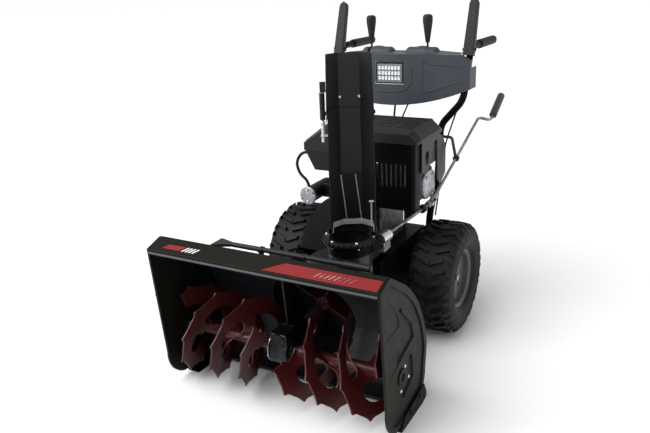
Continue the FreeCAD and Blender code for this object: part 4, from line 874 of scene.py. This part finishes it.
def make_clutch_lever(side, name, node, body):
    """A pressed channel with a rounded head and a row of rivets down its web."""
    place = lever_frame(side)
    bm = bmesh.new()
    rows = []
    for k in range(LEVER_STEPS + 1):
        w = LEVER_FOOT + LEVER_LENGTH * k / LEVER_STEPS
        rows.append([place(u, v, w) for u, v in lever_section(w)])
    skin(bm, rows)
    piece(name, mesh_of(name, bm), "black_plastic", body, [node])
    rivets = bmesh.new()
    out = place(0, -1, 0) - place(0, 0, 0)
    for k in range(RIVET_COUNT):
        foot = place(0, -11.5, 4.0 + RIVET_PITCH * k)
        bolt_head(rivets, foot, out, (0.0, 1.2, 1.8), 2.0, 14, (1.0, 0.9, 0.4))
    piece(name + "_rivets", mesh_of(name + "_rivets", rivets), "dark_aluminium", body)


MOULDING_ROUTES = [
    [(70, 948), (88, 930), (86, 880), (60, 852), (0, 846), (-60, 846)],
    [(124, 968), (128, 930), (126, 842), (190, 862), (262, 885)],
    [(124, 968), (150, 950), (262, 936)],
]
MOULDING_STEP = 8


def on_console(route):
    """A route of (x, z) laid on the bowed front of the dash, with its corners rounded."""
    path = arc_points([(x, console_front(x), z) for x, z in route], 16.0, 5)
    fine = []
    for a, b in zip(path, path[1:]):
        count = max(1, int((b - a).length / MOULDING_STEP))
        fine += [a.lerp(b, k / count) for k in range(count)]
    fine.append(path[-1])
    return [Vector((p.x, console_front(p.x), p.z)) for p in fine]


def make_console_lines():
    """Raised mouldings on the dash: round the lamp's recess and the pocket beside it."""
    bm = bmesh.new()
    for route in MOULDING_ROUTES:
        path = on_console(route)
        ends = (0, len(path) - 1)
        tube_along(bm, path, 2.6, 10, lambda i: 0.4 if i in ends else 1.0)
    mesh = mesh_of("dash_mouldings", bm)
    piece("dash_mouldings", mesh, "console_plastic", "machine")


def console_front(x):
    """The y of the dash's bowed front at x: an arc through its middle and its two ends."""
    half, depth = 292.0, 68.0
    radius = (half * half + depth * depth) / (2 * depth)
    return 262.0 + radius - math.sqrt(radius * radius - x * x)


HUMP_HALF = 62.0
HUMP_MIDDLES = (-88.0, 94.0)
HUMP_HEIGHT = 44.0
HUMP_DEPTH = 40
HUMP_Y = 366
HUMP_Z = 962
SLOT = (28.0 - HUMP_HALF, 38.0 - HUMP_HALF)


def hump_section(middle, x):
    """The arch of a hump at a distance x from its middle."""
    rise = HUMP_HEIGHT * max(0.12, 1.0 - abs(x / HUMP_HALF) ** 2.0) ** 0.5
    turns = [math.pi * j / 24 for j in range(25)]
    return [
        Vector((middle + x, HUMP_Y - HUMP_DEPTH * math.cos(t), HUMP_Z + rise * math.sin(t)))
        for t in turns
    ]


def make_domes():
    """Two domed humps on the dash, each split by a lever slot."""
    bm = bmesh.new()
    for middle in HUMP_MIDDLES:
        for a, b in ((-HUMP_HALF, SLOT[0]), (SLOT[1], HUMP_HALF)):
            skin(bm, [hump_section(middle, a + (b - a) * k / 16) for k in range(17)])
    mesh = mesh_of("dash_humps", bm)
    piece("dash_humps", mesh, "console_plastic", "machine")


# ---------------------------------------------------------------- engine and chute


STARTER_CENTRE = Vector((-192, 0, 503))
STARTER_CAP_R = 33.6
STARTER_CAP_DEPTHS = (48.6, 55.4, 57.4)


def make_starter_cap():
    """The starter's pale end cap and its two screws, over a dark body."""
    cap = bmesh.new()
    bolt_head(cap, STARTER_CENTRE, -Y, STARTER_CAP_DEPTHS, STARTER_CAP_R, 48, (1, 1, 0.94))
    piece("starter_cap", mesh_of("starter_cap", cap), "engine_metal", "machine")
    screws = bmesh.new()
    for z in (22, -22):
        foot = STARTER_CENTRE - Y * 57.2 + Z * z
        bolt_head(screws, foot, -Y, (0, 3, 3.8), 4.2, 16, (1, 1, 0.7))
    piece("starter_screws", mesh_of("starter_screws", screws), "zinc", "machine")


RING_BOLT_CIRCLE = 79
RING_TOP_Z = 465.5
BEND_HIGHLIGHT_LINES = ((-19.0, -35.0), (30.0, 12.0))
BEND_HIGHLIGHT_R = 1.9
HOOD_BOLTS_X = (-30.0, 30.0)
HOOD_BOLTS_Z = 912.0
BOOT_PLACE = (-84, 19.0)
BOOT_FOOT_Z = 845.5
BOOT_LENGTH = 83.0
BOOT_R = 9.2
BOOT_STEPS = 64


def make_chute_bend_highlights_and_bolts():
    """Two pale ribs low on the inside of the chute, painted highlights along its bends, and the
    bolts round its ring.
    """
    bm = bmesh.new()
    # Pale ribs that paint the highlights along the chute's bends.
    for foot, head in BEND_HIGHLIGHT_LINES:
        low = chute_point(foot, 60.2, 492.0)
        high = chute_point(head, 33.0, 664.0)
        tube_along(bm, [low, low.lerp(high, 0.02), low.lerp(high, 0.98), high], BEND_HIGHLIGHT_R, 10)
    piece("chute_bend_highlights", mesh_of("chute_bend_highlights", bm), "pale_steel", "chute_unit")
    bolts = bmesh.new()
    centre = Vector((CHUTE_X, CHUTE_Y, RING_TOP_Z))
    for angle in range(12, 372, 60):
        turn = math.radians(angle)
        foot = centre + (X * math.cos(turn) + Y * math.sin(turn)) * RING_BOLT_CIRCLE
        bolt_head(bolts, foot, Z, (0, 5, 7), 5.2, 16, (1, 1, 0.55))
    piece("chute_ring_bolts", mesh_of("chute_ring_bolts", bolts), "zinc", "chute_unit")


def make_hood_bolts():
    """Domed bolt heads inside the hood, on its back wall."""
    bm = bmesh.new()
    for u in HOOD_BOLTS_X:
        points = [chute_point(u, back, HOOD_BOLTS_Z) for back in (35.0, 32.6, 31.6)]
        tube_along(bm, points, 4.4, 18, lambda i: (1.0, 0.9, 0.4)[i])
    piece("hood_bolts", mesh_of("hood_bolts", bm), "zinc", "hood")


def chute_point(across, back, z):
    """A point in the chute's own frame, turned into place."""
    turn = math.radians(CHUTE_TURN)
    u = across + CHUTE_OFFSET
    return Vector(
        (
            CHUTE_X + u * math.cos(turn) - back * math.sin(turn),
            CHUTE_Y + u * math.sin(turn) + back * math.cos(turn),
            z,
        )
    )


def make_spring_boot():
    """The pleated boot over the hood's return spring: each pleat takes four steps."""
    bm = bmesh.new()
    rise = BOOT_LENGTH / BOOT_STEPS
    path = [chute_point(*BOOT_PLACE, BOOT_FOOT_Z + rise * k) for k in range(BOOT_STEPS + 1)]
    tube_along(bm, path, BOOT_R, 18, lambda i: 0.92 - 0.08 * math.cos(i * math.pi / 2))
    piece("spring_boot", mesh_of("spring_boot", bm), "rubber", "chute_unit")


VALVE_COVER_CENTRE = (74, 557)
VALVE_COVER_HALF = (56, 50)
VALVE_COVER_LAYERS = ((222, 0.0), (231, 0.0), (234.5, 2.0), (236.5, 6.5))
VALVE_COVER_BOLTS = ((40, 590), (108, 590), (40, 524), (108, 524))
VALVE_BOLT_FOOT_X = 235.0


def valve_cover_outline(x, shrink):
    """The rounded outline of the cover at x, drawn in by shrink."""
    points = []
    for k in range(40):
        turn = 2 * math.pi * k / 40
        c, d = math.cos(turn), math.sin(turn)
        y = VALVE_COVER_CENTRE[0] + (VALVE_COVER_HALF[0] - shrink) * math.copysign(abs(c) ** 0.55, c)
        z = VALVE_COVER_CENTRE[1] + (VALVE_COVER_HALF[1] - shrink) * math.copysign(abs(d) ** 0.75, d)
        points.append(Vector((x, y, z)))
    return points


def make_valve_cover():
    """The bare aluminium cover at the end of the cylinder head, crowned and rounded."""
    bm = bmesh.new()
    skin(bm, [valve_cover_outline(x, shrink) for x, shrink in VALVE_COVER_LAYERS])
    for y, z in VALVE_COVER_BOLTS:
        bolt_head(bm, Vector((VALVE_BOLT_FOOT_X, y, z)), X, (0, 5, 6), 5.5, 6, (1, 1, 0.8))
    piece("valve_cover", mesh_of("valve_cover", bm), "engine_metal", "machine")


# ---------------------------------------------------------------- scene


NODE_LOOKS = {
    # These two housings take the housing paint with a painted glossy reflection.
    "auger_housing": "sheened_housing_paint",
    "impeller_housing": "sheened_housing_paint",
    "auger_bearings": "housing_paint",
    "gearbox_support": "plain_black",
    "crank_rod": "rod_steel",
    "chute_worm": "rod_steel",
    "engine_block": "dark_aluminium",
    "starter_motor": "plain_black",
    "chute_hardware": "pale_steel",
}


def carry_over(nodes, slots):
    """Gives each CAD node that stays its material and smooth shading."""
    for name, node in nodes.items():
        looks = NODE_LOOKS.get(name, slots[name])
        node.data.materials.clear()
        node.data.materials.append(LOOKS[looks])
        smooth(node.data, CAD_SHARP_ANGLE)


CAMERA_ANGLES = (29.728, 19.076, -2.571)
CAMERA_PLACE = (1.036, -2.072, 1.242)
CAMERA_LENS = 36.92
CAMERA_SHIFT = (-0.0026, -0.003)


def camera():
    """Stands the camera at the catalogue view: to the right of the front, looking down a little."""
    azimuth, elevation, roll = (math.radians(angle) for angle in CAMERA_ANGLES)
    back = Vector(
        (
            math.sin(azimuth) * math.cos(elevation),
            -math.cos(azimuth) * math.cos(elevation),
            math.sin(elevation),
        )
    )
    level = Vector((math.cos(azimuth), math.sin(azimuth), 0))
    up = back.cross(level)
    right = level * math.cos(roll) + up * math.sin(roll)
    above = up * math.cos(roll) - level * math.sin(roll)
    data = bpy.data.cameras.new("camera")
    data.sensor_width = 36.0
    data.lens = CAMERA_LENS
    data.shift_x, data.shift_y = CAMERA_SHIFT
    data.clip_end = 50.0
    made = bpy.data.objects.new("camera", data)
    turn = Matrix((right, above, back)).transposed().to_4x4()
    made.matrix_world = Matrix.Translation(CAMERA_PLACE) @ turn
    bpy.context.scene.collection.objects.link(made)
    bpy.context.scene.camera = made


def area_light(name, place, target, size, power):
    """A rectangular lamp at a place, facing a target."""
    data = bpy.data.lights.new(name, "AREA")
    data.shape = "RECTANGLE"
    data.size, data.size_y = size
    data.energy = power
    made = bpy.data.objects.new(name, data)
    made.location = place
    direction = Vector(target) - Vector(place)
    made.rotation_euler = direction.to_track_quat("-Z", "Y").to_euler()
    bpy.context.scene.collection.objects.link(made)


def make_floor():
    """A plain pale floor that reaches the horizon."""
    bm = bmesh.new()
    bmesh.ops.create_grid(bm, x_segments=2, y_segments=2, size=300.0)
    mesh = bpy.data.meshes.new("floor")
    bm.to_mesh(mesh)
    bm.free()
    floor = bpy.data.objects.new("floor", mesh)
    bpy.context.scene.collection.objects.link(floor)
    shader = Shader("floor_paper")
    tone = shader.ramp(shader.noise(0.8), [(0.0, (0.86, 0.86, 0.86)), (1.0, (0.9, 0.9, 0.9))])
    shader.link(tone, shader.surface.inputs["Base Color"])
    shader.set(Roughness=0.95, Specular_IOR_Level=0.1)
    mesh.materials.append(shader.material)


HORIZON_GLOW = (0.1, 0.3)
SKY_STRENGTH = 0.55


def make_sky():
    """A white sky, brightest at the horizon so that it meets the floor without a line."""
    world = bpy.data.worlds.new("studio")
    world.use_nodes = True
    nodes, links = world.node_tree.nodes, world.node_tree.links
    split = nodes.new("ShaderNodeSeparateXYZ")
    links.new(nodes.new("ShaderNodeTexCoord").outputs["Generated"], split.inputs["Vector"])
    sky = nodes.new("ShaderNodeMapRange")
    sky.inputs["From Min"].default_value = HORIZON_GLOW[0]
    sky.inputs["From Max"].default_value = HORIZON_GLOW[1]
    sky.inputs["To Min"].default_value = 1.0
    sky.inputs["To Max"].default_value = SKY_STRENGTH
    links.new(split.outputs["Z"], sky.inputs["Value"])
    links.new(sky.outputs["Result"], nodes["Background"].inputs["Strength"])
    nodes["Background"].inputs["Color"].default_value = (1.0, 1.0, 1.0, 1.0)
    bpy.context.scene.world = world


def make_lights():
    """Soft light from above and both sides."""
    sun = bpy.data.lights.new("sky", "SUN")
    sun.energy = 2.5
    sun.angle = math.radians(50)
    lamp = bpy.data.objects.new("sky", sun)
    lamp.rotation_euler = (math.radians(28), math.radians(-22), 0)
    bpy.context.scene.collection.objects.link(lamp)
    area_light("key", (-2.4, -2.6, 2.0), (0, -0.2, 0.5), (1.4, 1.4), 40)
    area_light("fill", (3.2, -0.4, 1.4), (0, 0.0, 0.5), (1.0, 2.0), 8)
    bpy.context.scene.view_settings.view_transform = "Standard"


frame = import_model()
LOOKS = make_materials()
slots = {part["node"]: part["material_slot"] for part in frame["record"]["subparts"]}
carry_over(frame["nodes"], slots)
make_wheels()
make_auger(1, "auger_serrated_left", "auger_flight_left")
make_auger(-1, "auger_serrated_right", "auger_flight_right")
make_decals()
make_side_ribs()
make_lip_bead()
make_gearbox_trim()
make_headlight()
make_crank_grip()
make_console_lines()
make_domes()
make_starter_cap()
make_chute_bend_highlights_and_bolts()
make_hood_bolts()
make_spring_boot()
make_valve_cover()
make_clutch_lever(1, "clutch_bail_left", "clutch_lever_left", "clutch_left")
make_clutch_lever(-1, "clutch_bail_right", "clutch_lever_right", "clutch_right")
camera()
make_floor()
make_sky()
make_lights()
